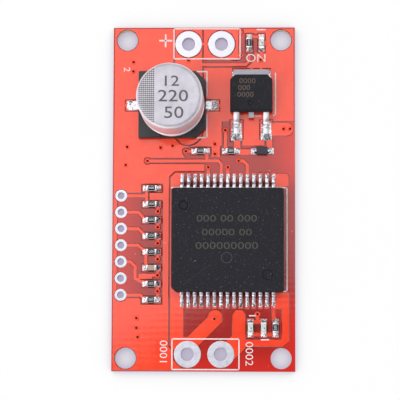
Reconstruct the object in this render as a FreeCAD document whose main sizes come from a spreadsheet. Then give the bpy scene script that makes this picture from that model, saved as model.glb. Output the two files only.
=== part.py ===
import FreeCAD, Part
import math
import os
import re
import Sketcher
from FreeCAD import Placement, Rotation, Vector

# A motor driver board: a two-layer board with one 30-lead power package, its reservoir capacitor, a
# reverse-supply transistor and a handful of chips. Origin at the middle of the underside, +X along the
# short side, +Y towards the supply pads, +Z up out of the component side. Millimetres.

os.makedirs("parts", exist_ok=True)
doc = FreeCAD.newDocument("driver_board")

# ---------------------------------------------------------------------------------------------- sizes
SIZES = {
    # bare board
    "board_width": 28.0,
    "board_length": 53.0,
    "core_height": 1.4,
    "foil_height": 0.07,
    "film_height": 0.03,
    "copper_margin": 0.2,
    "mount_inset_x": 2.15,
    "mount_inset_y": 2.0,
    "mount_diameter": 3.2,
    # wire pads at both ends of the board
    "pad_pitch": 5.08,
    "pad_pair_x": 0.15,
    "pad_inset": 2.6,
    "pad_ring": 4.16,
    "pad_bore": 2.0,
    "plating": 0.06,
    # signal holes down the left edge
    "header_count": 7,
    "header_pitch": 2.54,
    "header_inset": 1.35,
    "header_y": -7.26,
    "header_ring": 1.86,
    "header_bore": 1.0,
    # power driver package
    "driver_x": 3.7,
    "driver_y": -6.5,
    "driver_length": 17.2,
    "driver_width": 16.0,
    "driver_height": 2.2,
    "driver_pin_one_cut": 0.9,
    "mould_draft": 7.0,
    "lead_count": 15,
    "lead_pitch": 1.0,
    "lead_width": 0.5,
    "lead_gauge": 0.27,
    "lead_level": 1.05,
    "lead_span": 19.0,
    "lead_foot": 0.9,
    "lead_slope": 0.3,
    "lead_bend": 0.12,
    "lead_land_width": 0.6,
    "lead_land_length": 2.4,
    "lead_land_span": 20.8,
    "slug_centre_length": 5.8,
    "slug_side_length": 4.85,
    "slug_gap": 0.5,
    "slug_width": 9.8,
    "slug_height": 0.5,
    "die_share_length": 3.4,
    "die_share_width": 3.0,
    "die_height": 0.25,
    "ejector_diameter": 1.5,
    "ejector_depth": 0.04,
    # reservoir capacitor
    "capacitor_x": -4.85,
    "capacitor_y": 14.35,
    "can_diameter": 10.0,
    "can_top": 10.2,
    "can_wall": 0.3,
    "can_rim": 0.55,
    "bead_level": 2.75,
    "bead_depth": 0.4,
    "bead_height": 1.1,
    "base_side": 10.3,
    "base_height": 1.35,
    "base_floor": 0.75,
    "base_cut": 1.5,
    "base_notch": 3.5,
    "base_notch_depth": 0.55,
    "base_fit": 0.05,
    "pin_spacing": 4.5,
    "pin_width": 0.8,
    "pin_gauge": 0.4,
    "terminal_width": 1.2,
    "terminal_gauge": 0.3,
    "terminal_span": 12.2,
    "terminal_land_width": 1.6,
    "terminal_land_span": 14.4,
    "winding_diameter": 8.9,
    "winding_head": 0.4,
    # reverse-supply transistor
    "transistor_x": 7.3,
    "transistor_y": 16.0,
    "transistor_width": 6.5,
    "transistor_length": 5.8,
    "transistor_height": 2.3,
    "transistor_cut": 0.75,
    "tab_width": 5.35,
    "tab_gauge": 0.5,
    "tab_reach": 0.95,
    "tab_under": 4.6,
    "tab_cut": 0.25,
    "leg_pitch": 4.57,
    "leg_width": 0.8,
    "leg_gauge": 0.5,
    "leg_level": 1.1,
    "leg_span": 6.1,
    "leg_foot": 1.45,
    "leg_slope": 0.45,
    "leg_bend": 0.25,
    "leg_land_width": 1.85,
    "leg_land_length": 2.9,
    "leg_land_span": 6.85,
    "stub_width": 0.85,
    "stub_reach": 0.9,
    "transistor_die": 2.6,
    # two-terminal chips (0603)
    "chip_length": 1.6,
    "chip_width": 0.8,
    "chip_height": 0.45,
    "chip_wrap": 0.3,
    "wrap_gauge": 0.03,
    "overcoat_width": 0.7,
    "chip_land_span": 2.9,
    "chip_land_width": 1.0,
    "chip_land_gap": 1.0,
    "chip_fillet": 0.33,
    "column_x": -7.95,
    "column_top": 1.5,
    "column_pitch": 2.443,
    "row_y": 7.25,
    "row_first_x": -0.5,
    "row_second_x": 4.2,
    "power_led_reach": 3.0,
    "power_inset": 2.45,
    "power_pair_pitch": 1.9,
    "status_y": -19.85,
    "status_first_x": 7.2,
    "status_second_x": 9.2,
    "status_chip_x": 11.0,
    # light-emitting diodes
    "led_base_height": 0.3,
    "led_lens_length": 1.1,
    "led_lens_height": 0.4,
    # small-signal diode
    "diode_x": 8.95,
    "diode_length": 1.7,
    "diode_width": 1.25,
    "diode_height": 0.95,
    "diode_gauge": 0.12,
    "diode_level": 0.45,
    "diode_leg_width": 0.35,
    "diode_span": 1.4,
    "diode_foot": 0.3,
    "diode_slope": 0.08,
    "diode_bend": 0.05,
    "diode_land_span": 3.3,
    "diode_land_length": 0.95,
    # etched copper
    "clearance": 0.27,
    "hole_relief": 0.16,
    "header_relief": 0.12,
    "mount_relief": 0.15,
    "track": 0.45,
    "via_ring": 0.76,
    "via_drop": 1.11,
    "wire_level": 5.75,
    "via_level": 4.75,
    "supply_pour_end": 10.35,
    "tab_land_edge": 0.15,
    "column_window_left": 1.65,
    "column_window_right": 1.72,
    "edge_strip": 0.53,
    "output_overhang": 0.17,
    "spoke": 0.45,
    "thin_spoke": 0.3,
    "spoke_reach": 0.4,
    # copper planes of the underside
    "supply_plane_left": -5.8,
    "supply_plane_right": 5.75,
    "supply_plane_end": 14.0,
    "output_plane_left": -6.2,
    "output_plane_right": 6.8,
    "output_plane_end": -15.4,
}

sheet = doc.addObject("Spreadsheet::Sheet", "Sizes")
for row, (name, number) in enumerate(SIZES.items(), 1):
    sheet.set(f"A{row}", name)
    sheet.set(f"B{row}", str(number))
    sheet.setAlias(f"B{row}", name)
doc.recompute()

# heights in the stack, from the underside of the tinned rings up
CORE_BOTTOM = "film_height + foil_height"
CORE_TOP = "film_height + foil_height + core_height"
SEAT = "2 * film_height + 2 * foil_height + core_height"


# ------------------------------------------------------------------------------------------- helpers
def formula(text):
    """The text with every size's name turned into its cell of the sheet."""
    return re.sub(r"[a-z_]+", lambda word: "Sizes." + word[0] if word[0] in SIZES else word[0], text)


def value(text):
    """The number that a formula gives now."""
    return float(sheet.evalExpression(formula(text)))


def bind(thing, **formulas):
    for name, text in formulas.items():
        thing.setExpression(name, formula(text))
    return thing


def place(thing, x="0", y="0", z=SEAT, turn=0):
    """Puts an object in the board's frame, turned about its own upright axis by a number of degrees."""
    thing.Placement = Placement(Vector(value(x), value(y), value(z)), Rotation(Vector(0, 0, 1), turn))
    for axis, text in (("x", x), ("y", y), ("z", z)):
        thing.setExpression(f"Placement.Base.{axis}", formula(text))
    return thing


def origin_part(body, role):
    return next(part for part in body.Origin.OriginFeatures if part.Role == role)


def new_sketch(body, name, plane="XY_Plane", level=None):
    sketch = body.newObject("Sketcher::SketchObject", name)
    sketch.AttachmentSupport = [(origin_part(body, plane), "")]
    sketch.MapMode = "FlatFace"
    if level:
        sketch.setExpression("AttachmentOffset.Base.z", formula(level))
    return sketch


def tie(sketch, kind, part, point, text):
    """Holds one point of a sketch at a distance from the sketch's origin."""
    number = sketch.addConstraint(Sketcher.Constraint(kind, -1, 1, part, point, value(text)))
    sketch.setExpression(f"Constraints[{number}]", formula(text))


def outline(sketch, corners):
    """A closed outline of straight lines, every corner held by its two distances."""
    first = sketch.GeometryCount
    count = len(corners)
    spots = [Vector(value(x), value(y), 0) for x, y in corners]
    for i in range(count):
        sketch.addGeometry(Part.LineSegment(spots[i], spots[(i + 1) % count]), False)
    for i, (x, y) in enumerate(corners):
        following = first + (i + 1) % count
        sketch.addConstraint(Sketcher.Constraint("Coincident", first + i, 2, following, 1))
        tie(sketch, "DistanceX", first + i, 1, x)
        tie(sketch, "DistanceY", first + i, 1, y)


def rectangle(sketch, left, bottom, right, top):
    outline(sketch, [(left, bottom), (right, bottom), (right, top), (left, top)])


def circle(sketch, x, y, diameter):
    middle = Vector(value(x), value(y), 0)
    ring = sketch.addGeometry(Part.Circle(middle, Vector(0, 0, 1), value(diameter) / 2), False)
    tie(sketch, "DistanceX", ring, 3, x)
    tie(sketch, "DistanceY", ring, 3, y)
    number = sketch.addConstraint(Sketcher.Constraint("Diameter", ring, value(diameter)))
    sketch.setExpression(f"Constraints[{number}]", formula(diameter))


def pad(body, sketch, length, name, symmetric=False, down=False, draft=None):
    feature = body.newObject("PartDesign::Pad", name)
    feature.Profile = sketch
    feature.Length = value(length)
    bind(feature, Length=length)
    if symmetric:
        feature.SideType = "Symmetric"
    feature.Reversed = down
    if draft:
        feature.TaperAngle = -value(draft)
        bind(feature, TaperAngle=f"-({draft})")
    body.Tip = feature
    doc.recompute()
    return feature


def pocket(body, sketch, depth, name):
    """Cuts upwards, against the sketch's normal; depth None goes right through."""
    before = body.Shape.Volume
    feature = body.newObject("PartDesign::Pocket", name)
    feature.Profile = sketch
    feature.Reversed = True
    if depth is None:
        feature.Type = "ThroughAll"
    else:
        feature.Length = value(depth)
        bind(feature, Length=depth)
    body.Tip = feature
    doc.recompute()
    if not body.Shape.Volume < before:
        raise ValueError(f"{name} cuts nothing")
    return feature


def chamfer(body, feature, wanted, size, name):
    """Takes the edges of a feature for which wanted(edge) is true down to a flat."""
    numbers = [i for i, edge in enumerate(feature.Shape.Edges, 1) if wanted(edge)]
    if not numbers:
        raise ValueError(f"{name} finds no edge")
    flat = body.newObject("PartDesign::Chamfer", name)
    flat.Base = (feature, [f"Edge{i}" for i in numbers])
    flat.Size = value(size)
    bind(flat, Size=size)
    body.Tip = flat
    doc.recompute()
    return flat


def repeat(body, feature, axis, pitch, count, name):
    """The whole of a body so far, repeated along one of its own axes."""
    row = body.newObject("PartDesign::LinearPattern", name)
    row.TransformMode = "Whole shape"
    row.Direction = (origin_part(body, axis), [""])
    row.Mode = "Spacing"
    row.Offset = value(pitch)
    row.Occurrences = round(value(count))
    bind(row, Offset=pitch, Occurrences=count)
    body.Tip = row
    doc.recompute()
    return row


def new_body(name):
    return doc.addObject("PartDesign::Body", name)


def runs_along(edge, axis):
    way = edge.tangentAt(edge.FirstParameter)
    return abs(abs(way.dot(axis)) - 1) < 1e-6


NODES = []


def node(thing, label):
    """Names a finished sub-part and puts it on the list of files to write."""
    thing.Label = label
    NODES.append(thing)
    return thing


def group(label, shapes):
    """One node of several copies of shapes that the document holds elsewhere."""
    return node(solid(label, Part.makeCompound(shapes)), label)


def solid(name, shape):
    feature = doc.addObject("Part::Feature", name)
    feature.Shape = shape
    feature.Placement = Placement()
    return feature


def moved(thing, x, y, z=SEAT, turn=0):
    """A copy of an object's shape, put down on the board."""
    copy = thing.Shape.copy()
    copy.Placement = Placement(Vector(value(x), value(y), value(z)), Rotation(Vector(0, 0, 1), turn))
    return copy


# ---------------------------------------------------------------------------------- places of things
PAD_X = [f"pad_pair_x {side} pad_pitch / 2" for side in "-+"]
SUPPLY_Y = "(board_length / 2 - pad_inset)"
OUTPUT_Y = f"-{SUPPLY_Y}"
MOUNT_X = "(board_width / 2 - mount_inset_x)"
MOUNT_Y = "(board_length / 2 - mount_inset_y)"
HEADER_X = "header_inset - board_width / 2"
POWER_LED_X = f"{MOUNT_X} - power_led_reach"
POWER_CHIP_X = f"{POWER_LED_X} - power_pair_pitch"
POWER_Y = "(board_length / 2 - power_inset)"
HEADER_TOP = "header_y + (header_count - 1) / 2 * header_pitch"
COLUMN = [f"column_top - {i} * column_pitch" for i in range(8)]
CERAMIC_Y = COLUMN[-3]
UPRIGHT = 90

# every resistor: x, y, turn
RESISTORS = [("column_x", y, 0) for y in COLUMN if y != CERAMIC_Y]
RESISTORS += [
    ("row_first_x", "row_y", 0),
    ("row_second_x", "row_y", 0),
    (POWER_CHIP_X, POWER_Y, UPRIGHT),
    ("status_chip_x", "status_y", UPRIGHT),
]
LEDS = {
    "led_power": (POWER_LED_X, POWER_Y, UPRIGHT),
    "led_forward": ("status_first_x", "status_y", UPRIGHT),
    "led_reverse": ("status_second_x", "status_y", UPRIGHT),
}
CERAMIC = ("column_x", CERAMIC_Y, 0)


def header_hole(i):
    """Where the signal hole number i stands, counted from the supply end."""
    return HEADER_X, f"{HEADER_TOP} - {i} * header_pitch"


# -------------------------------------------------------------------------------------- the laminate
# Rings and holes that repeat are drawn with this many flats; bores that take a screw or a wire are round.
SIGNAL_SIDES = 10
WIRE_SIDES = 20
MOUNT_SIDES = 12
ROUND_SIDES = 24
VIA_SIDES = 8
MARK_SIDES = 16


def many_sided(sketch, x, y, diameter, sides):
    """A ring or hole with flats round it."""
    turns = [2 * math.pi * (i + 0.5) / sides for i in range(sides)]
    outline(sketch, [(f"{x} + {diameter} / 2 * {math.cos(turn):.6f}",
                      f"{y} + {diameter} / 2 * {math.sin(turn):.6f}") for turn in turns])


def board_laminate():
    """The glass-epoxy core with its mounting holes and the drilled holes under the plated ones."""
    body = new_body("board_laminate")
    face = new_sketch(body, "board_outline")
    rectangle(face, "-board_width / 2", "-board_length / 2", "board_width / 2", "board_length / 2")
    pad(body, face, "core_height", "core")
    holes = new_sketch(body, "mounting_holes")
    for across in "-+":
        for along in "-+":
            circle(holes, f"{across}{MOUNT_X}", f"{along}{MOUNT_Y}", "mount_diameter")
    pocket(body, holes, None, "mounting_bores")
    drilled = new_sketch(body, "wire_holes")
    for x in PAD_X:
        for y in (SUPPLY_Y, OUTPUT_Y):
            many_sided(drilled, x, y, "(pad_bore + 2 * plating)", WIRE_SIDES)
    pocket(body, drilled, None, "wire_bores")
    signals = new_sketch(body, "signal_holes")
    for i in range(round(value("header_count"))):
        many_sided(signals, *header_hole(i), "(header_bore + 2 * plating)", SIGNAL_SIDES)
    pocket(body, signals, None, "signal_bores")
    return node(place(body, z=CORE_BOTTOM), "board_laminate")


# ------------------------------------------------------------------------------------- plated holes
def eyelet(name, ring, bore, sides):
    """A plated hole: a thin barrel with a flat tinned ring at each face of the board, not yet bored."""
    body = new_body(name)
    flange = "(foil_height + film_height)"
    for part, level, outer, height in (("low_ring", None, ring, flange),
                                       ("barrel", flange, f"({bore} + 2 * plating)", "core_height"),
                                       ("top_ring", f"{flange} + core_height", ring, flange)):
        section = new_sketch(body, f"{name}_{part}_outline", level=level)
        many_sided(section, "0", "0", outer, sides)
        pad(body, section, height, f"{name}_{part}")
    return body


def wire_eyelets():
    """Four round bores with wide rings: two for the supply wires and two for the output wires."""
    for row, y, sides in (("supply", SUPPLY_Y, ("positive", "negative")),
                          ("output", OUTPUT_Y, ("one", "two"))):
        for side, x in zip(sides, PAD_X):
            name = f"{row}_eyelet_{side}"
            body = eyelet(name, "pad_ring", "pad_bore", WIRE_SIDES)
            bore = new_sketch(body, f"{name}_bore_outline")
            circle(bore, "0", "0", "pad_bore")
            pocket(body, bore, None, f"{name}_bore")
            node(place(body, x, y, "0"), name)


def signal_eyelets():
    """The row of plated signal holes at the board's edge."""
    row = eyelet("signal_eyelets", "header_ring", "header_bore", SIGNAL_SIDES)
    bore = new_sketch(row, "signal_bore_outline")
    many_sided(bore, "0", "0", "header_bore", SIGNAL_SIDES)
    pocket(row, bore, None, "signal_bore")
    repeat(row, row.Tip, "Y_Axis", "header_pitch", "header_count", "signal_row")
    bottom = "header_y - (header_count - 1) / 2 * header_pitch"
    node(place(row, HEADER_X, bottom, "0"), "signal_eyelets")


# ------------------------------------------------------------------------- moulded bodies and leads
def moulding(name, corners, level, gauge, height):
    """A moulded body: a parting band as high as the leads are thick, and a drafted half above and below."""
    body = new_body(name)
    low = f"{level} - {gauge} / 2"
    high = f"{level} + {gauge} / 2"
    for part, at in (("band", low), ("cope", high), ("drag", low)):
        sketch = new_sketch(body, f"{name}_{part}_outline", level=at)
        outline(sketch, corners)
        if part == "band":
            pad(body, sketch, gauge, f"{name}_band")
        elif part == "cope":
            pad(body, sketch, f"{height} - ({high})", f"{name}_cope", draft="mould_draft")
        else:
            pad(body, sketch, low, f"{name}_drag", down=True, draft="mould_draft")
    return body


def gull_wing(name, root, span, level, gauge, foot, slope, width, bend):
    """A formed lead: a flat shoulder, a steep drop and a flat foot. It leads along +Y.

    The inner side of the drop runs from under the shoulder to the heel, and the outer side lies one gauge
    outside it. Each bend has one flat across its outer corner, which keeps thirty leads light.
    """
    body = new_body(name)
    side = new_sketch(body, f"{name}_profile", "YZ_Plane")
    over = f"({level} + {gauge} / 2)"
    under = f"({level} - {gauge} / 2)"
    heel = f"({span} - {foot})"
    knee = f"({heel} - {slope} + {gauge})"
    outline(side, [
        (root, over),
        (knee, over),
        (f"{knee} + {slope} * ({over} - {gauge}) / {over}", gauge),
        (span, gauge),
        (span, "0"),
        (heel, "0"),
        (f"{heel} - {slope} * {under} / {over}", under),
        (root, under),
    ])
    strip = pad(body, side, width, f"{name}_strip", symmetric=True)
    corners = {round(value(text), 5) for text in (knee, heel)}
    chamfer(body, strip,
            lambda edge: runs_along(edge, Vector(1, 0, 0)) and round(edge.CenterOfMass.y, 5) in corners,
            bend, f"{name}_bends")
    return body


# --------------------------------------------------------------------------------- the power driver
LEAD_START = "(lead_count - 1) / 2 * lead_pitch"


def lead_x(i):
    """Where the lead number i stands, counted from the left."""
    return f"driver_x - {LEAD_START} + {i} * lead_pitch"


def slug_places():
    side = "slug_centre_length / 2 + slug_gap + slug_side_length / 2"
    return {"left": (f"-({side})", "slug_side_length"), "centre": ("0", "slug_centre_length"),
            "right": (side, "slug_side_length")}


def driver():
    """The 30-lead power package: body, two rows of leads, three slugs and the dies that they carry."""
    half_x, half_y = "driver_length / 2", "driver_width / 2"
    cut = "driver_pin_one_cut"
    corners = [(f"-{half_x} + {cut}", f"-{half_y}"), (half_x, f"-{half_y}"), (half_x, half_y),
               (f"-{half_x}", half_y), (f"-{half_x}", f"-{half_y} + {cut}")]
    body = moulding("driver_body", corners, "lead_level", "lead_gauge", "driver_height")
    seats = new_sketch(body, "slug_seats")
    dies = new_sketch(body, "die_seats", level="slug_height")
    for x, length in slug_places().values():
        rectangle(seats, f"{x} - {length} / 2", "-slug_width / 2", f"{x} + {length} / 2", "slug_width / 2")
        rectangle(dies, f"{x} - die_share_length / 2", "-die_share_width / 2",
                  f"{x} + die_share_length / 2", "die_share_width / 2")
    pocket(body, seats, "slug_height", "slug_pockets")
    pocket(body, dies, "die_height", "die_pockets")
    marks = new_sketch(body, "ejector_marks", level="driver_height - ejector_depth")
    many_sided(marks, "driver_length / 2 - 2.5", "-driver_width / 2 + 2.6", "ejector_diameter", MARK_SIDES)
    many_sided(marks, "-driver_length / 2 + 1.9", "driver_width / 2 - 2.8", "ejector_diameter", MARK_SIDES)
    pocket(body, marks, "ejector_depth", "ejector_dimples")
    node(place(body, "driver_x", "driver_y"), "driver_body")

    for side, turn in (("north", 0), ("south", 180)):
        name = f"driver_leads_{side}"
        row = gull_wing(name, half_y, "lead_span / 2", "lead_level", "lead_gauge", "lead_foot",
                        "lead_slope", "lead_width", "lead_bend")
        repeat(row, row.Tip, "X_Axis", "lead_pitch", "lead_count", f"{name}_row")
        start = f"driver_x {'-' if turn == 0 else '+'} {LEAD_START}"
        node(place(row, start, "driver_y", turn=turn), name)

    for side, (x, length) in slug_places().items():
        slug = doc.addObject("Part::Box", f"driver_slug_{side}")
        bind(slug, Length=length, Width="slug_width", Height="slug_height")
        place(slug, f"driver_x + {x} - {length} / 2", "driver_y - slug_width / 2")
        node(slug, f"driver_slug_{side}")
    chips = new_body("driver_dies")
    plan = new_sketch(chips, "die_plan")
    for x, _ in slug_places().values():
        rectangle(plan, f"{x} - die_share_length / 2", "-die_share_width / 2",
                  f"{x} + die_share_length / 2", "die_share_width / 2")
    pad(chips, plan, "die_height", "die_blocks")
    node(place(chips, "driver_x", "driver_y", f"{SEAT} + slug_height"), "driver_dies")


# ------------------------------------------------------------------------- the reservoir capacitor
RIM_SHARE = 1 - math.cos(math.radians(45))


def flat_pins(sketch, sides="-+"):
    """The flattened sections of the capacitor's pins, as they stand in the seal and the base."""
    for side in sides:
        middle = f"{side}pin_spacing / 2"
        rectangle(sketch, f"{middle} - pin_gauge / 2", "-pin_width / 2", f"{middle} + pin_gauge / 2",
                  "pin_width / 2")


def capacitor():
    """A 10 mm aluminium can with a crimped bead, on its moulded base, with two flat terminals."""
    half = "base_side / 2"
    radius = "can_diameter / 2"
    base = new_body("capacitor_base")
    plan = new_sketch(base, "base_outline")
    outline(plan, [(f"-{half}", f"-{half}"), (f"{half} - base_cut", f"-{half}"),
                   (half, f"-{half} + base_cut"), (half, f"{half} - base_cut"),
                   (f"{half} - base_cut", half), (f"-{half}", half)])
    pad(base, plan, "base_height", "base_plate")
    well = new_sketch(base, "can_well", level="base_floor")
    circle(well, "0", "0", "can_diameter + 2 * base_fit")
    pocket(base, well, "base_height - base_floor", "can_seat")
    notches = new_sketch(base, "side_notches", level="base_floor")
    rectangle(notches, "-base_notch / 2", f"-{half} - base_fit", "base_notch / 2",
              f"-{half} + base_notch_depth")
    rectangle(notches, "-base_notch / 2", f"{half} - base_notch_depth", "base_notch / 2",
              f"{half} + base_fit")
    pocket(base, notches, "base_height - base_floor", "rim_notches")
    channels = new_sketch(base, "terminal_channels")
    for side in "-+":
        inner = f"{side}(pin_spacing / 2 - terminal_width / 2)"
        outer = f"{side}(base_side / 2 + base_fit)"
        left, right = (outer, inner) if side == "-" else (inner, outer)
        rectangle(channels, left, "-terminal_width / 2", right, "terminal_width / 2")
    pocket(base, channels, "terminal_gauge", "terminal_grooves")
    pins = new_sketch(base, "pin_holes")
    flat_pins(pins)
    pocket(base, pins, None, "pin_slots")
    node(place(base, "capacitor_x", "capacitor_y"), "capacitor_base")

    can = new_body("capacitor_can")
    wall = new_sketch(can, "can_section", "XZ_Plane")
    inner = f"{radius} - can_wall"
    bead_low, bead_high = "bead_level - bead_height / 2", "bead_level + bead_height / 2"
    outline(wall, [
        (inner, "base_floor"), (radius, "base_floor"), (radius, bead_low),
        (f"{radius} - bead_depth", "bead_level"),
        (radius, bead_high), (radius, "can_top - can_rim"),
        (f"{radius} - {RIM_SHARE:.4f} * can_rim", f"can_top - {RIM_SHARE:.4f} * can_rim"),
        (f"{radius} - can_rim", "can_top"), ("0", "can_top"), ("0", "can_top - can_wall"),
        (inner, "can_top - can_wall"), (inner, bead_high), (f"{inner} - bead_depth", "bead_level"),
        (inner, bead_low),
    ])
    turned = can.newObject("PartDesign::Revolution", "can_turned")
    turned.Profile = wall
    turned.ReferenceAxis = (wall, ["V_Axis"])
    turned.Angle = 360
    can.Tip = turned
    doc.recompute()
    node(place(can, "capacitor_x", "capacitor_y"), "capacitor_can")

    seal = new_body("capacitor_seal")
    section = new_sketch(seal, "seal_section", "XZ_Plane")
    outline(section, [("0", "base_floor"), (inner, "base_floor"), (inner, bead_low),
                      (f"{inner} - bead_depth", "bead_level"), ("0", "bead_level")])
    plug = seal.newObject("PartDesign::Revolution", "seal_turned")
    plug.Profile = section
    plug.ReferenceAxis = (section, ["V_Axis"])
    plug.Angle = 360
    seal.Tip = plug
    doc.recompute()
    ways = new_sketch(seal, "seal_holes")
    flat_pins(ways)
    pocket(seal, ways, None, "seal_slots")
    node(place(seal, "capacitor_x", "capacitor_y"), "capacitor_seal")

    winding = doc.addObject("Part::Prism", "capacitor_winding")
    winding.Polygon = ROUND_SIDES
    bind(winding, Circumradius="winding_diameter / 2",
         Height=f"can_top - can_wall - winding_head - ({bead_high})")
    place(winding, "capacitor_x", "capacitor_y", f"{SEAT} + {bead_high}")
    node(winding, "capacitor_winding")

    for side, sign in (("positive", "+"), ("negative", "-")):
        name = f"capacitor_terminal_{side}"
        strap = new_body(name)
        flat = new_sketch(strap, f"{name}_strap")
        inside = f"{sign}(pin_spacing / 2 - terminal_width / 2)"
        outside = f"{sign}terminal_span / 2"
        left, right = (outside, inside) if sign == "-" else (inside, outside)
        rectangle(flat, left, "-terminal_width / 2", right, "terminal_width / 2")
        pad(strap, flat, "terminal_gauge", f"{name}_flat")
        stem = new_sketch(strap, f"{name}_pin", level="terminal_gauge")
        flat_pins(stem, sign)
        pad(strap, stem, f"{bead_high} - terminal_gauge", f"{name}_stem")
        node(place(strap, "capacitor_x", "capacitor_y"), name)


# ----------------------------------------------------------------------- the protection transistor
def transistor():
    """A tabbed power transistor: the tab runs under the body and ends in a cropped centre lead."""
    half_x, half_y = "transistor_width / 2", "transistor_length / 2"
    cut = "transistor_cut"
    corners = [(f"-{half_x}", f"-{half_y}"), (half_x, f"-{half_y}"), (half_x, f"{half_y} - {cut}"),
               (f"{half_x} - {cut}", half_y), (f"-{half_x} + {cut}", half_y),
               (f"-{half_x}", f"{half_y} - {cut}")]
    block = moulding("transistor_moulding", corners, "leg_level", "leg_gauge", "transistor_height")
    place(block, "transistor_x", "transistor_y")

    tab = new_body("transistor_tab")
    plan = new_sketch(tab, "tab_plan")
    end = f"{half_y} + tab_reach"
    wide = "tab_width / 2"
    outline(plan, [(f"-{wide}", f"{half_y} - tab_under"), (wide, f"{half_y} - tab_under"),
                   (wide, f"{end} - tab_cut"), (f"{wide} - tab_cut", end),
                   (f"-{wide} + tab_cut", end), (f"-{wide}", f"{end} - tab_cut")])
    pad(tab, plan, "tab_gauge", "tab_plate")
    step = new_sketch(tab, "stub_profile", "YZ_Plane")
    near = f"{half_y} - tab_under"
    outline(step, [
        (near, "0"), (f"{near} + leg_gauge", "0"), (f"{near} + leg_gauge", "leg_level + leg_gauge / 2"),
        (f"-{half_y} - stub_reach", "leg_level + leg_gauge / 2"),
        (f"-{half_y} - stub_reach", "leg_level - leg_gauge / 2"), (near, "leg_level - leg_gauge / 2"),
    ])
    pad(tab, step, "stub_width", "stub", symmetric=True)
    node(place(tab, "transistor_x", "transistor_y"), "transistor_tab")

    die = doc.addObject("Part::Box", "transistor_die")
    bind(die, Length="transistor_die", Width="transistor_die", Height="die_height")
    place(die, "transistor_x - transistor_die / 2", "transistor_y", f"{SEAT} + tab_gauge")
    node(die, "transistor_die")

    inside = doc.addObject("Part::Compound", "transistor_insert")
    inside.Links = [tab, die]
    shell = doc.addObject("Part::Cut", "transistor_body")
    shell.Base = block
    shell.Tool = inside
    doc.recompute()
    node(shell, "transistor_body")

    for name, sign in (("transistor_lead_gate", "-"), ("transistor_lead_source", "+")):
        leg = gull_wing(name, half_y, "leg_span", "leg_level", "leg_gauge", "leg_foot", "leg_slope",
                        "leg_width", "leg_bend")
        node(place(leg, f"transistor_x {sign} leg_pitch / 2", "transistor_y", turn=180), name)


# ------------------------------------------------------------------------------------- small parts
def wrapped_pair(name, length, width, height):
    """Two plated ends of a chip, each folded round the end and over the top and bottom faces."""
    body = new_body(name)
    for sign in "-+":
        side = new_sketch(body, f"{name}_end_{'left' if sign == '-' else 'right'}", "XZ_Plane")
        top = f"{height} + 2 * wrap_gauge"
        outer, inner = f"{sign}{length} / 2", f"{sign}({length} / 2 - wrap_gauge)"
        edge = f"{sign}({length} / 2 - chip_wrap)"
        outline(side, [(edge, "0"), (outer, "0"), (outer, top), (edge, top),
                       (edge, f"{top} - wrap_gauge"), (inner, f"{top} - wrap_gauge"),
                       (inner, "wrap_gauge"), (edge, "wrap_gauge")])
        pad(body, side, width, f"{side.Name}_wrap", symmetric=True)
    return body


def chip_block(name, x, y, turn, height):
    """A chip's plain rectangular block, between its plated ends."""
    block = new_body(name)
    plan = new_sketch(block, f"{name}_plan")
    length = "chip_length / 2 - wrap_gauge"
    rectangle(plan, f"-({length})", "-chip_width / 2", length, "chip_width / 2")
    pad(block, plan, height, f"{name}_block")
    return node(place(block, x, y, f"{SEAT} + wrap_gauge", turn), name)


def joint(name, inner, outer, end, rise, width, lift="0"):
    """Solder under and outside a terminal's end, from the land's inner edge to its outer one, along +X."""
    body = new_body(name)
    side = new_sketch(body, f"{name}_profile", "XZ_Plane")
    outline(side, [(inner, "-film_height"), (outer, "-film_height"), (outer, lift), (end, rise),
                   (end, "0"), (inner, "0")])
    pad(body, side, width, f"{name}_bead", symmetric=True)
    return body


def both_ends(thing, x, y, turn):
    """A joint at each end of a two-terminal part."""
    return [moved(thing, x, y, turn=turn), moved(thing, x, y, turn=turn + 180)]


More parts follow.
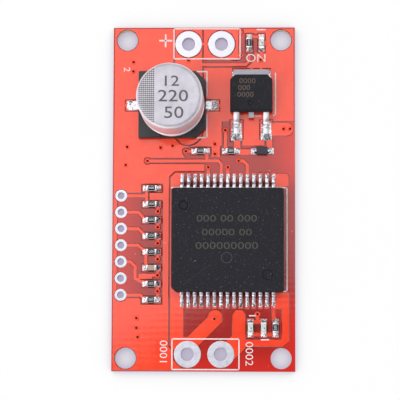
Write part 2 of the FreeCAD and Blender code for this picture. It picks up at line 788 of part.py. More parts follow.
def small_parts():
    for i, (x, y, turn) in enumerate(RESISTORS, 1):
        chip_block(f"resistor_{i}", x, y, turn, "chip_height")
    chip_block("ceramic_capacitor", *CERAMIC, "chip_height")
    ends = wrapped_pair("chip_ends", "chip_length", "chip_width", "chip_height")
    group("resistor_terminals", [moved(ends, x, y, turn=turn) for x, y, turn in RESISTORS])
    group("ceramic_capacitor_terminals", [moved(ends, CERAMIC[0], CERAMIC[1])])

    cover = doc.addObject("Part::Box", "overcoat")
    bind(cover, Length="chip_length - 2 * chip_wrap", Width="overcoat_width", Height="wrap_gauge")
    cover.Placement.Base = Vector(-value("chip_length / 2 - chip_wrap"), -value("overcoat_width / 2"), 0)
    bind(cover, **{"Placement.Base.x": "-(chip_length / 2 - chip_wrap)",
                   "Placement.Base.y": "-overcoat_width / 2"})
    doc.recompute()
    group("resistor_overcoats", [
        Part.makeCompound([cover.Shape]).copy().transformed(
            Placement(Vector(value(x), value(y), value(f"{SEAT} + wrap_gauge + chip_height")),
                      Rotation(Vector(0, 0, 1), turn)).toMatrix())
        for x, y, turn in RESISTORS])

    led_ends = wrapped_pair("led_ends", "chip_length", "chip_width", "led_base_height")
    for name, (x, y, turn) in LEDS.items():
        chip_block(f"{name}_base", x, y, turn, "led_base_height")
        lens = new_body(f"{name}_lens")
        plan = new_sketch(lens, f"{name}_lens_plan")
        rectangle(plan, "-led_lens_length / 2", "-chip_width / 2", "led_lens_length / 2", "chip_width / 2")
        pad(lens, plan, "led_lens_height", f"{name}_dome")
        node(place(lens, x, y, f"{SEAT} + 2 * wrap_gauge + led_base_height", turn), f"{name}_lens")
    group("led_terminals", [moved(led_ends, x, y, turn=turn) for x, y, turn in LEDS.values()])

    half_x, half_y = "diode_length / 2", "diode_width / 2"
    diode = moulding("diode_body", [(f"-{half_x}", f"-{half_y}"), (half_x, f"-{half_y}"),
                                    (half_x, half_y), (f"-{half_x}", half_y)],
                     "diode_level", "diode_gauge", "diode_height")
    node(place(diode, "diode_x", "row_y"), "diode_body")
    leg = gull_wing("diode_leg", half_x, "diode_span", "diode_level", "diode_gauge", "diode_foot",
                    "diode_slope", "diode_leg_width", "diode_bend")
    group("diode_leads", [moved(leg, "diode_x", "row_y", turn=90), moved(leg, "diode_x", "row_y", turn=-90)])


# ------------------------------------------------------------------------------------ etched copper
# Every conductor is a flat face here, drawn in the board's frame, and each layer is one extrusion.
def number(text):
    return value(text) if isinstance(text, str) else float(text)


def area(*corners):
    """A flat face from its corners, turned to look up whichever way round they are given."""
    spots = [Vector(number(x), number(y), 0) for x, y in corners]
    twice = sum(a.x * b.y - b.x * a.y for a, b in zip(spots, spots[1:] + spots[:1]))
    if twice < 0:
        spots.reverse()
    return Part.Face(Part.makePolygon(spots + spots[:1]))


def bar(left, bottom, right, top, grow=0.0):
    left, bottom, right, top = number(left), number(bottom), number(right), number(top)
    return area((left - grow, bottom - grow), (right + grow, bottom - grow),
                (right + grow, top + grow), (left - grow, top + grow))


def round_area(x, y, diameter, sides, grow=0.0):
    """A round stretch of copper, with as many flats as it needs."""
    reach = number(diameter) / 2 + grow
    turns = [2 * math.pi * (i + 0.5) / sides for i in range(sides)]
    return area(*[(number(x) + reach * math.cos(t), number(y) + reach * math.sin(t)) for t in turns])


def strip(points, width, grow=0.0):
    """A track: a line of even width with mitred corners, grown on all sides where it has to be cleared."""
    line = [Vector(number(x), number(y), 0) for x, y in points]
    half = number(width) / 2 + grow
    ways = [(b - a).normalize() for a, b in zip(line, line[1:])]
    line[0] = line[0] - ways[0] * grow
    line[-1] = line[-1] + ways[-1] * grow
    left, right = [], []
    for i, spot in enumerate(line):
        before, after = ways[max(i - 1, 0)], ways[min(i, len(ways) - 1)]
        mitre = (before + after).normalize()
        out = Vector(-mitre.y, mitre.x, 0) * (half / mitre.dot(after))
        left.append(spot + out)
        right.append(spot - out)
    return area(*[(spot.x, spot.y) for spot in left + right[::-1]])


def merged(faces):
    whole = faces[0].multiFuse(faces[1:]) if len(faces) > 1 else faces[0]
    return whole.removeSplitter()


def chip_lands(x, y, turn, grow=0.0):
    """The two lands of a two-terminal chip."""
    inner, outer = value("chip_land_gap / 2"), value("chip_land_span / 2")
    side = value("chip_land_width / 2")
    x, y = value(x), value(y)
    if turn:
        return [bar(x - side, y + inner, x + side, y + outer, grow),
                bar(x - side, y - outer, x + side, y - inner, grow)]
    return [bar(x - outer, y - side, x - inner, y + side, grow),
            bar(x + inner, y - side, x + outer, y + side, grow)]


def other_lands(grow=0.0):
    """The lands of the diode, the capacitor and the transistor."""
    lands = []
    inner, outer = value("diode_land_span / 2 - diode_land_length"), value("diode_land_span / 2")
    side = value("chip_land_width / 2")
    x, y = value("diode_x"), value("row_y")
    lands += [bar(x - outer, y - side, x - inner, y + side, grow),
              bar(x + inner, y - side, x + outer, y + side, grow)]
    inner = value("pin_spacing / 2 - terminal_width / 2")
    outer, side = value("terminal_land_span / 2"), value("terminal_land_width / 2")
    x, y = value("capacitor_x"), value("capacitor_y")
    lands += [bar(x - outer, y - side, x - inner, y + side, grow),
              bar(x + inner, y - side, x + outer, y + side, grow)]
    y, side = value("transistor_y - leg_land_span"), value("leg_land_width / 2")
    for sign in "-+":
        x = value(f"transistor_x {sign} leg_pitch / 2")
        lands.append(bar(x - side, y, x + side, y + value("leg_land_length"), grow))
    x, side = value("transistor_x"), value("tab_width / 2 + tab_land_edge")
    top = value("transistor_y + transistor_length / 2 + tab_reach + tab_land_edge")
    low = value("transistor_y + transistor_length / 2 - tab_under")
    lands.append(bar(x - side, low, x + side, top, grow))
    return lands


def driver_lands():
    """The thirty lead lands and the three wide lands under the slugs."""
    lands = []
    y0 = value("driver_y")
    outer, side = value("lead_land_span / 2"), value("lead_land_width / 2")
    inner = outer - value("lead_land_length")
    for i in range(round(value("lead_count"))):
        x = value(lead_x(i))
        lands += [bar(x - side, y0 + inner, x + side, y0 + outer),
                  bar(x - side, y0 - outer, x + side, y0 - inner)]
    for x, length in slug_places().values():
        lands.append(bar(f"driver_x + {x} - {length} / 2", "driver_y - slug_width / 2",
                         f"driver_x + {x} + {length} / 2", "driver_y + slug_width / 2"))
    return lands


def from_top(inset):
    """A place so far in from the board's supply end."""
    return f"board_length / 2 - {inset}"


def from_low(inset):
    """A place so far in from the board's output end."""
    return f"{inset} - board_length / 2"


def from_right(inset):
    """A place so far in from the board's right side."""
    return f"board_width / 2 - {inset}"


# vias that stand in bare laminate and so have a ring of their own
CHIP_RIGHT = "column_x + (chip_land_span + chip_land_gap) / 4"
CHIP_LEFT = "column_x - (chip_land_span + chip_land_gap) / 4"
COLUMN_VIAS = [(CHIP_RIGHT, f"{y} - via_drop") for i, y in enumerate(COLUMN) if 0 < i < 7]
LONE_VIAS = [(-8.65, "wire_level"), (lead_x(4), "via_level"), (lead_x(7), "via_level"), (5.35, "wire_level"),
             (-2.75, "row_y"), (3.3, 10.5), (8.25, -17.75), (5.65, from_top(4.35)), (5.55, from_top(0.75))]


NORTH_LANDS = "driver_y + lead_land_span / 2 - lead_land_length / 2"
SOUTH_LANDS = "driver_y - lead_land_span / 2 + lead_land_length / 2"
LAND_MIDDLE = "(chip_land_span + chip_land_gap) / 4"


def tracks():
    """Every etched track as (points, width): signal holes to chips, chips to vias, vias to leads."""
    elbow = -10.0
    signals = [
        [header_hole(0), (-8.75, header_hole(0)[1])],
        [(-8.75, COLUMN[0]), (-8.75, COLUMN[1])],
        [header_hole(1), (elbow, header_hole(1)[1]), (CHIP_LEFT, COLUMN[2])],
        [header_hole(2), (elbow, header_hole(2)[1]), (CHIP_LEFT, COLUMN[3])],
        [header_hole(3), (elbow, header_hole(3)[1]), (CHIP_LEFT, COLUMN[4])],
        [header_hole(4), (-11.2, header_hole(4)[1]), (-10.45, -10.5), (-10.45, -12.3),
         (CHIP_LEFT, COLUMN[6])],
        [header_hole(6), (-9.6, header_hole(6)[1]), (CHIP_LEFT, COLUMN[7])],
        [(-8.8, COLUMN[4]), (-8.8, COLUMN[5])],
        [(-8.2, -11.85), COLUMN_VIAS[4]],
        [(CHIP_RIGHT, COLUMN[7]), COLUMN_VIAS[5]],
        [LONE_VIAS[0], (2.25, "wire_level"), (lead_x(6), 5.2), (lead_x(6), NORTH_LANDS)],
        [(f"row_first_x + {LAND_MIDDLE}", "row_y"), (f"row_first_x + {LAND_MIDDLE}", "wire_level")],
        [LONE_VIAS[1], (lead_x(4), NORTH_LANDS)],
        [LONE_VIAS[2], (lead_x(7), NORTH_LANDS)],
        [LONE_VIAS[3], (6.05, "wire_level"), (lead_x(10), 5.1), (lead_x(10), NORTH_LANDS)],
        [LONE_VIAS[4], (f"row_first_x - {LAND_MIDDLE}", "row_y")],
        [LONE_VIAS[5], (3.3, "row_y")],
        [(8.25, -17.75), (8.25, -18.9)],
        [("status_first_x", f"status_y - {LAND_MIDDLE}"), ("status_chip_x", f"status_y - {LAND_MIDDLE}")],
        [(lead_x(14), SOUTH_LANDS), (lead_x(14), -18.0), ("status_chip_x", f"status_y + {LAND_MIDDLE}")],
        [(POWER_CHIP_X, f"{POWER_Y} + {LAND_MIDDLE}"), (POWER_LED_X, f"{POWER_Y} + {LAND_MIDDLE}")],
    ]
    signals += [[(CHIP_RIGHT, y), via] for y, via in zip(COLUMN[1:7], COLUMN_VIAS)]
    wide = [
        ([(-9.9, -12.01), (-7.8, -12.01)], 0.8),
        ([(5.1, 9.6), (5.1, "row_y")], 1.0),
        ([(10.05, 9.6), (10.05, "row_y")], 0.9),
        ([(f"row_second_x + {LAND_MIDDLE}", 7.12), ("diode_x - 1.2", 7.12)], 0.85),
        ([("status_first_x", f"status_y + {LAND_MIDDLE}"), ("status_second_x", f"status_y + {LAND_MIDDLE}")],
         0.5),
    ]
    return [(points, "track") for points in signals] + wide


LED_SUPPLY = ([(-1.0, from_top(5.8)), (6.4, from_top(5.8)), (POWER_CHIP_X, from_top(5.25)),
               (POWER_CHIP_X, f"{POWER_Y} - 0.6")], "track")
STUB = ((10.3, 9.65, from_right(1.25), 11.65), (from_right(1.25), 10.65, 2.0))


def edge(sign, axis):
    """Where copper stops short of the board's edge."""
    return f"{sign}(board_{axis} / 2 - copper_margin)"


LEFT, RIGHT = edge("-", "width"), edge("", "width")
LOW, HIGH = edge("-", "length"), edge("", "length")
SUPPLY_LEFT, SUPPLY_RIGHT = f"{PAD_X[0]} - pad_ring / 2", f"{PAD_X[0]} + pad_ring / 2"
DRIVER_WEST = "driver_x - driver_length / 2"
DRIVER_EAST = "driver_x + driver_length / 2"
DRIVER_NORTH = "driver_y + lead_land_span / 2"
DRIVER_SOUTH = "driver_y - lead_land_span / 2"


def ground_pour():
    """The left side of the board, from the supply end round the signal holes to the output end."""
    gap = value("clearance")
    seam = value(f"{DRIVER_WEST} - output_overhang") - gap
    pour = area((LEFT, HIGH), (f"{SUPPLY_LEFT} - clearance", HIGH),
                (f"{SUPPLY_LEFT} - clearance", "supply_pour_end"), (PAD_X[0], "supply_pour_end"),
                (PAD_X[0], 7.75), (-3.3, 7.75), (-3.3, 6.95), (-2.95, 6.3), (-2.95, 5.3), (0.1, 5.3),
                (0.1, value(DRIVER_NORTH) + gap), (seam + 0.9, value(DRIVER_NORTH) + gap),
                (seam, value(DRIVER_NORTH) - 0.6), (seam, from_low(3.8)), (seam + 0.6, from_low(3.2)),
                (-4.7, from_low(1.9)), (-3.1, LOW), (LEFT, LOW))
    left, right = "column_x - column_window_left", "column_x + column_window_right"
    window = merged([
        bar(f"{LEFT} + edge_strip", f"{COLUMN[7]} + 0.6", right, f"{COLUMN[0]} - 0.9"),
        bar(left, f"{COLUMN[0]} - 1", right, f"{COLUMN[0]} + 0.72"),
        bar(left, f"{COLUMN[7]} - 0.75", right, f"{COLUMN[7]} + 1"),
        *[round_area(*header_hole(i), "header_ring", SIGNAL_SIDES, value("header_relief"))
          for i in range(round(value("header_count")))],
    ])
    tongue = bar(-8.3, f"{COLUMN[1]} + 0.65", right, f"{COLUMN[0]} - 0.72")
    return pour.cut(window).fuse(tongue)


def supply_pour(grow=0.0):
    """From the positive pad under the capacitor, ending in a half round."""
    return merged([bar(SUPPLY_LEFT, "supply_pour_end", SUPPLY_RIGHT, HIGH, grow),
                   round_area(PAD_X[0], "supply_pour_end", "pad_ring", ROUND_SIDES, grow)])


def main_pour():
    """The right side round the transistor, which joins the capacitor's positive land."""
    seam = f"{SUPPLY_RIGHT} + clearance"
    return area((seam, "supply_pour_end"), (PAD_X[0], "supply_pour_end"), (PAD_X[0], 7.97),
                (1.22, 7.97), (1.22, 6.35), (2.47, 6.35), (2.47, 8.1), (2.75, 8.1), (2.75, 11.9),
                (5.9, 11.9), (5.9, 8.1), (9.3, 8.1), (9.3, 11.9), (RIGHT, 11.9), (RIGHT, HIGH),
                (5.95, HIGH), (5.95, from_top(0.9)), (7.75, from_top(0.9)), (7.75, from_top(5.1)),
                (6.6, from_top(6.3)), (seam, from_top(6.3)))


def output_one():
    """Left output: a strip beside the driver and a wide diagonal track, both to the first output pad."""
    strip_right = -3.05
    west = value(f"{DRIVER_WEST} - output_overhang")
    beside = area((west, value(DRIVER_NORTH) - 0.65), (west + 0.7, DRIVER_NORTH),
                  (lead_x(0), DRIVER_NORTH), (lead_x(0), 1.0), (-2.0, 1.0), (-2.0, -14.1),
                  (strip_right, -14.6), (strip_right, from_low(5.2)), (-2.2, from_low(5.2)),
                  (PAD_X[0], OUTPUT_Y), (-4.65, from_low(3.4)), (west, from_low(3.9)))
    lobe = round_area(1.8, -18.15, 2.1, ROUND_SIDES)
    return merged([beside, lobe, strip([(1.8, -18.15), (1.8, -18.55), (-3.0, from_low(3.15))], 2.1)])


def output_two():
    """Right output: blocks at the driver's right corners, round the small parts, to the second pad."""
    east = value(DRIVER_EAST)
    north_block = area((east - 1.6, 1.8), (from_right(1.0), 1.8), (from_right(1.0), 3.4),
                       (from_right(1.3), 3.75), (lead_x(14), 3.75), (lead_x(14), 1.8))
    under = bar(east - 1.6, -14.6, east - 0.1, 1.9)
    ring = area((lead_x(14), -14.5), (from_right(0.95), -14.5), (from_right(0.95), from_low(4.6)),
                (from_right(1.85), from_low(3.88)), (6.4, from_low(3.88)), (6.4, from_low(3.55)),
                (4.75, from_low(1.9)), (PAD_X[1], OUTPUT_Y), (3.2, from_low(4.3)), (4.45, from_low(5.5)),
                (4.45, -17.9), (4.95, -17.15), (5.95, -17.15), (6.4, -17.8), (6.4, from_low(4.85)),
                (from_right(2.25), from_low(4.85)), (from_right(2.0), from_low(5.1)),
                (from_right(2.0), DRIVER_SOUTH), (lead_x(14), DRIVER_SOUTH))
    return merged([north_block, under, ring])


def return_pour():
    """Round the negative pad, which it meets through two spokes."""
    return bar(f"{SUPPLY_RIGHT} + clearance", from_top(5.1), 5.3, HIGH)


def board_holes():
    """What the mounting holes and the wire pads take out of a pour, each with its relief."""
    grow_mount, grow_pad = value("mount_relief"), value("hole_relief")
    holes = []
    for across in "-+":
        for along in "-+":
            holes.append(round_area(f"{across}{MOUNT_X}", f"{along}{MOUNT_Y}",
                                    "mount_diameter", MOUNT_SIDES, grow_mount))
    for x in PAD_X:
        for y in (SUPPLY_Y, OUTPUT_Y):
            holes.append(round_area(x, y, "pad_ring", MOUNT_SIDES, grow_pad))
    return holes


def spokes():
    """Short bridges of copper that carry the wire pads and some lands across their clearance."""
    reach = value("pad_ring / 2 + spoke_reach")
    lines = []
    for x, y, ways in ((PAD_X[0], SUPPLY_Y, ((0, -1), (1, 0), (-1, 0))),
                       (PAD_X[1], SUPPLY_Y, ((0, -1), (-1, 0)))):
        for dx, dy in ways:
            lines.append(([(x, y), (value(x) + reach * dx, value(y) + reach * dy)], "spoke"))
    top = "transistor_y + transistor_length / 2 + tab_reach"
    for x in ("transistor_x", "transistor_x + 1.45"):
        lines.append(([(x, top), (x, f"{top} + spoke_reach")], "thin_spoke"))
    for sign in "-+":
        end = f"capacitor_x {sign} terminal_land_span / 2"
        lines.append(([(f"{end} - spoke_reach", "capacitor_y"), (f"{end} + spoke_reach", "capacitor_y")],
                      "thin_spoke"))
    end = f"{POWER_Y} - {LAND_MIDDLE}"
    lines.append(([(POWER_LED_X, end), (POWER_LED_X, f"{end} - 2 * spoke_reach")], "spoke"))
    return lines


def top_copper():
    gap, relief = value("clearance"), value("hole_relief")
    chips = RESISTORS + [CERAMIC] + list(LEDS.values())
    lands = [land for x, y, turn in chips for land in chip_lands(x, y, turn)] + other_lands()
    wide_lands = [land for x, y, turn in chips for land in chip_lands(x, y, turn, relief)]
    wide_lands += other_lands(relief)
    rings = [round_area(x, y, "via_ring", VIA_SIDES) for x, y in COLUMN_VIAS + LONE_VIAS]
    wide_rings = [round_area(x, y, "via_ring", VIA_SIDES, gap) for x, y in LONE_VIAS]
    lines = [strip(points, width) for points, width in tracks()]
    wide_lines = [strip(points, width, gap) for points, width in tracks()]
    stub_bar, stub_end = STUB
    stub = [bar(*stub_bar), round_area(*stub_end, ROUND_SIDES)]
    wide_stub = [bar(*stub_bar, gap), round_area(*stub_end, ROUND_SIDES, gap)]
    chip_gap = bar(f"{POWER_CHIP_X} + 0.5", f"{POWER_Y} - 1.5", f"{POWER_LED_X} - 0.5", f"{POWER_Y} + 0.6")

    ground = ground_pour().cut(merged([supply_pour(gap)] + wide_rings + wide_lines + wide_lands))
    main = main_pour().cut(merged([supply_pour(gap), strip(*LED_SUPPLY, gap), chip_gap]
                                  + wide_rings + wide_lines + wide_lands + wide_stub))
    supply = merged([supply_pour(), strip(*LED_SUPPLY)]).cut(merged(wide_lands))
    pours = [ground, main, supply, return_pour()]
    holes = merged(board_holes())
    pours = [pour.cut(holes) for pour in pours] + [output_one(), output_two()]
    bridges = [strip(points, width) for points, width in spokes()]
    everything = merged(pours + lands + driver_lands() + rings + lines + stub + bridges)
    eyelets = [round_area(x, y, "pad_ring", WIRE_SIDES) for x in PAD_X for y in (SUPPLY_Y, OUTPUT_Y)]
    eyelets += [round_area(*header_hole(i), "header_ring", SIGNAL_SIDES)
                for i in range(round(value("header_count")))]
    return foil("top_copper", everything.cut(merged(eyelets)), CORE_TOP)


def foil(name, flat, level):
    """One etched layer, as thick as the foil: touching islands are joined and lose their seams."""
    pieces = flat.extrude(Vector(0, 0, value("foil_height"))).Solids
    layer = doc.addObject("Part::Feature", name)
    layer.Shape = pieces[0].multiFuse(pieces[1:]).removeSplitter()
    return node(place(layer, z=level), name)


def bottom_copper():
    """The underside: a ground plane, a supply plane at one end and the two outputs at the other."""
    gap, relief = value("clearance"), value("hole_relief")
    supply = ("supply_plane_left", "supply_plane_end", "supply_plane_right", HIGH)
    first = ("output_plane_left", LOW, "pad_pair_x - clearance / 2", "output_plane_end")
    second = ("pad_pair_x + clearance / 2", LOW, "output_plane_right", "output_plane_end")
    islands = [bar(*box) for box in (supply, first, second)]
    moats = [bar(*box, gap) for box in (supply, first, second)]
    plane = bar(LEFT, LOW, RIGHT, HIGH).cut(merged(moats))
    holes = board_holes()
    holes += [round_area(*header_hole(i), "header_ring", VIA_SIDES, relief)
              for i in range(round(value("header_count")))]
    return foil("bottom_copper", merged(islands + [plane]).cut(merged(holes)), "film_height")


# ------------------------------------------------------------------------------------------ solder
def solder():
    chip = joint("chip_joint", "chip_land_gap / 2", "chip_land_span / 2", "chip_length / 2",
                 "chip_fillet", "chip_land_width")
    leg = joint("diode_joint", "diode_land_span / 2 - diode_land_length", "diode_land_span / 2",
                "diode_span", "diode_gauge", "chip_land_width")
    spots = RESISTORS + [CERAMIC] + list(LEDS.values())
    beads = [bead for x, y, turn in spots for bead in both_ends(chip, x, y, turn)]
    beads += both_ends(leg, "diode_x", "row_y", 0)
    group("chip_solder", beads)

    toe = joint("lead_joint", "lead_land_span / 2 - lead_land_length", "lead_land_span / 2",
                "lead_span / 2", "lead_gauge", "lead_land_width")
    toes = []
    for i in range(round(value("lead_count"))):
        toes += [moved(toe, lead_x(i), "driver_y", turn=turn) for turn in (90, -90)]
    films = []
    for x, length in slug_places().values():
        film = Part.makeBox(value(length), value("slug_width"), value("film_height"))
        corner = Vector(value(f"driver_x + {x} - {length} / 2"), value("driver_y - slug_width / 2"),
                        value(f"{SEAT} - film_height"))
        film.Placement = Placement(corner, Rotation())
        films.append(film)
    group("driver_solder", toes + films)

    strap = joint("terminal_joint", "pin_spacing / 2 - terminal_width / 2", "terminal_land_span / 2",
                  "terminal_span / 2", "terminal_gauge", "terminal_land_width")
    group("capacitor_solder", both_ends(strap, "capacitor_x", "capacitor_y", 0))

    foot = joint("leg_joint", "leg_land_span - leg_land_length", "leg_land_span", "leg_span",
                 "leg_gauge * 0.8", "leg_land_width")
    beads = [moved(foot, f"transistor_x {sign} leg_pitch / 2", "transistor_y", turn=-90) for sign in "-+"]
    film = Part.makeBox(value("tab_width"), value("tab_under + tab_reach"), value("film_height"))
    film.Placement = Placement(
        Vector(value("transistor_x - tab_width / 2"),
               value("transistor_y + transistor_length / 2 - tab_under"), value(f"{SEAT} - film_height")),
        Rotation())
    group("transistor_solder", beads + [film])


# ------------------------------------------------------------------------------- running the model
board_laminate()
wire_eyelets()
signal_eyelets()
top_copper()
bottom_copper()
driver()
capacitor()
transistor()
small_parts()
solder()
doc.recompute()

for thing in doc.Objects:
    if "Invalid" in thing.State or "Error" in thing.State:
        raise RuntimeError(f"{thing.Name} failed: {thing.State}")
for thing in NODES:
    if thing.Shape.isNull() or not thing.Shape.isValid():
        raise RuntimeError(f"{thing.Label} has no valid shape")
for thing in NODES:
    thing.Shape.exportStep(f"parts/{thing.Label}.step")
print(len(NODES), "sub-parts written")
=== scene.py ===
# %% [markdown]
# # A motor driver board, dressed piece by piece
#
# The solids of this board already exist, made in a CAD program. This notebook puts the finish on them.
# A circuit board is a sandwich: glass-epoxy laminate, etched copper on both faces, a glossy epoxy film
# called solder mask over that, tin where parts are soldered, and white ink for the lines and letters.
# The parts stand on top. We load the solids first, because most positions below are taken from them. The
# few that no solid gives, such as vias and white lines, are typed in millimetres.

# %% Load the solids as a fixed frame
import math

import bmesh
import bpy
import numpy as np
from mathutils import Matrix, Vector


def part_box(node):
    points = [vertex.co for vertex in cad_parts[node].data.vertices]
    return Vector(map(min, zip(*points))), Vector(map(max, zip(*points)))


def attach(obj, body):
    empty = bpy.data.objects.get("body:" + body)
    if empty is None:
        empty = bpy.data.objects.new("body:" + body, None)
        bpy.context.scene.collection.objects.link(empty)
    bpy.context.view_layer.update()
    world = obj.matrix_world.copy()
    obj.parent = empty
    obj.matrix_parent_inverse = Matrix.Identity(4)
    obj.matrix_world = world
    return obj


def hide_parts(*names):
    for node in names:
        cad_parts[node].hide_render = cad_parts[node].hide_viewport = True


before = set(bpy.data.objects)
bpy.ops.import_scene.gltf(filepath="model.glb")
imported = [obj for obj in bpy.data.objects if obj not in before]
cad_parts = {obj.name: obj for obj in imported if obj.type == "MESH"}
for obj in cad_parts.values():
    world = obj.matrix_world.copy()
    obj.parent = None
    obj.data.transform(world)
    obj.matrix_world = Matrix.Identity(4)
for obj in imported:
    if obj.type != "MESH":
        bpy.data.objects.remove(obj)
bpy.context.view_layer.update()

MM = 0.001


def reach(node):
    """The lowest and the highest corner of a solid, in millimetres."""
    low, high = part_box(node)
    return np.array(low) / MM, np.array(high) / MM


def middle(node):
    """The middle of a solid's box, in millimetres."""
    low, high = reach(node)
    return (low + high) / 2


BOARD_LOW, BOARD_HIGH = reach("board_laminate")
FACE = BOARD_HIGH[2]
FOIL = reach("top_copper")[1][2]
SEAT = reach("driver_body")[0][2]
print("board", (BOARD_HIGH - BOARD_LOW).round(2), "laminate face", FACE, "parts stand at", SEAT)

# %% [markdown]
# ## From arrays to meshes
#
# Almost every new piece here is one of two things: a closed outline carried up through a profile (a
# moulded body, a ring, a can), or a section carried along a path (a lead). Both give a grid of points,
# rows by columns, so one function can turn any such grid into faces. Numpy works out all the points at
# once, which is short to write and quick to run.

# %% Grids, joined shapes and pieces
def surface(grid):
    """Faces for a grid of points whose columns close into a ring, with a flat cap at each end."""
    rows, columns = grid.shape[:2]
    index = np.arange(rows * columns).reshape(rows, columns)
    after = np.roll(index, -1, axis=1)
    quads = np.stack([index[:-1], after[:-1], after[1:], index[1:]], -1).reshape(-1, 4)
    return grid.reshape(-1, 3), quads, [index[0][::-1], index[-1]]


def hoop(grid):
    """Faces for a grid that closes both ways, such as a ring."""
    rows, columns = grid.shape[:2]
    index = np.arange(rows * columns).reshape(rows, columns)
    after, above = np.roll(index, -1, axis=1), np.roll(index, -1, axis=0)
    both = np.roll(after, -1, axis=0)
    return grid.reshape(-1, 3), np.stack([index, after, both, above], -1).reshape(-1, 4), []


def quilt(grid):
    """Faces for an open grid of heights, closed underneath by one flat face."""
    rows, columns = grid.shape[:2]
    index = np.arange(rows * columns).reshape(rows, columns)
    quads = np.stack([index[:-1, :-1], index[:-1, 1:], index[1:, 1:], index[1:, :-1]], -1)
    rim = np.concatenate([index[0], index[1:, -1], index[-1, -2::-1], index[-2:0:-1, 0]])
    return grid.reshape(-1, 3), quads.reshape(-1, 4), [rim[::-1]]


def moved(shape, x=0.0, y=0.0, turn=0.0):
    """A shape turned about the vertical by so many degrees, then shifted."""
    points, quads, caps = shape
    c, s = math.cos(math.radians(turn)), math.sin(math.radians(turn))
    spin = np.array([[c, s, 0.0], [-s, c, 0.0], [0.0, 0.0, 1.0]])
    return points @ spin + (x, y, 0.0), quads, caps


def put(name, mesh, finish, stands_for=()):
    """A finished mesh as an object that rides on the board and wears a finish."""
    mesh.materials.clear()
    mesh.materials.append(finish)
    thing = bpy.data.objects.new(name, mesh)
    bpy.context.scene.collection.objects.link(thing)
    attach(thing, "root")
    if stands_for:
        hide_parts(*stands_for)
    print(f"{name}: {len(mesh.polygons)} faces")
    return thing


def dress(node, look):
    """Gives a carried-over solid its finish. The solid's mesh stays as it is."""
    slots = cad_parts[node].data.materials
    slots.clear()
    slots.append(look)


def piece(name, shapes, finish, stands_for=(), crease=35.0):
    """One object from shapes given in millimetres. Edges sharper than the crease angle stay crisp."""
    points = np.concatenate([shape[0] for shape in shapes]) * MM
    faces, start = [], 0
    for corners, quads, caps in shapes:
        faces += (quads + start).tolist() + [(cap + start).tolist() for cap in caps]
        start += len(corners)
    mesh = bpy.data.meshes.new(name)
    mesh.from_pydata(points.tolist(), [], faces)
    mesh.validate()
    mesh.shade_smooth()
    mesh.set_sharp_from_angle(angle=math.radians(crease))
    return put(name, mesh, finish, stands_for)


# %% [markdown]
# ## Outlines, profiles and paths
#
# Real edges are never perfectly sharp. A corner is eased here with a parabola: it leaves one side and
# meets the other smoothly, and needs no circle centre. The same function serves closed outlines and
# open paths.

# %% Corners, rings, prisms, strips and mounds
def eased(corners, radius, steps=5, closed=True):
    """A line through corners, each replaced by the parabola (1-t)^2 A + 2t(1-t) corner + t^2 B.

    A and B lie one radius away from the corner on the two sides that meet there, or half a side at most.
    """
    corners = np.asarray(corners, float)
    before, after = np.roll(corners, 1, axis=0), np.roll(corners, -1, axis=0)
    size = np.broadcast_to(np.asarray(radius, float), len(corners))[:, None]

    def toward(other):
        run = other - corners
        length = np.maximum(np.linalg.norm(run, axis=1, keepdims=True), 1e-9)
        return corners + run / length * np.minimum(size, 0.49 * length)

    t = np.linspace(0, 1, steps)[None, :, None]
    a, b = toward(before)[:, None], toward(after)[:, None]
    curves = (1 - t) ** 2 * a + 2 * t * (1 - t) * corners[:, None] + t ** 2 * b
    if closed:
        return curves.reshape(-1, 2)
    return np.concatenate([corners[:1], curves[1:-1].reshape(-1, 2), corners[-1:]])


def oblong(half_x, half_y, corner, steps=5):
    """A rectangle about the origin with eased corners, counter-clockwise."""
    return eased([(half_x, -half_y), (half_x, half_y), (-half_x, half_y), (-half_x, -half_y)], corner, steps)


def prism(outline, profile, x=0.0, y=0.0, turn=0.0):
    """An outline carried up through (inset, level) pairs: each level's outline is drawn in by its inset.

    A point moves in along the mitre of its two sides, (n1 + n2) / (1 + n1 . n2), so the walls stay parallel.
    """
    run = np.roll(outline, -1, axis=0) - outline
    run = run / np.maximum(np.linalg.norm(run, axis=1, keepdims=True), 1e-12)
    normal = np.stack([run[:, 1], -run[:, 0]], -1)
    last = np.roll(normal, 1, axis=0)
    mitre = (normal + last) / (1 + np.sum(normal * last, axis=1, keepdims=True))
    inset, level = np.asarray(profile, float).T
    flat = outline[None] - inset[:, None, None] * mitre[None]
    height = np.broadcast_to(level[:, None, None], flat.shape[:2] + (1,))
    return moved(surface(np.concatenate([flat, height], -1)), x, y, turn)


def turned(profile, x, y, sides=64, closed=False):
    """A profile of (radius, level) pairs carried round a vertical axis: x = r cos a, y = r sin a."""
    radius, level = np.asarray(profile, float).T
    angle = np.arange(sides) * 2 * math.pi / sides
    grid = np.stack([radius[:, None] * np.cos(angle) + x, radius[:, None] * np.sin(angle) + y,
                     np.broadcast_to(level[:, None], (len(level), sides))], -1)
    return hoop(grid) if closed else surface(grid)


def strip(path, width, gauge, rounding):
    """A flat bar's section carried along a path of (distance, level) pairs that leads along +Y.

    The section is stood at right angles to the path: across it along X, and through it along the normal,
    which is the path's direction turned a quarter.
    """
    path = np.asarray(path, float)
    way = np.gradient(path, axis=0)
    way = way / np.linalg.norm(way, axis=1, keepdims=True)
    normal = np.stack([-way[:, 1], way[:, 0]], -1)
    section = oblong(width / 2, gauge / 2, rounding, steps=3)[::-1]
    spread = path[:, None] + section[None, :, 1:] * normal[:, None]
    across = np.broadcast_to(section[None, :, :1], spread.shape[:2] + (1,))
    return surface(np.concatenate([across, spread], -1))


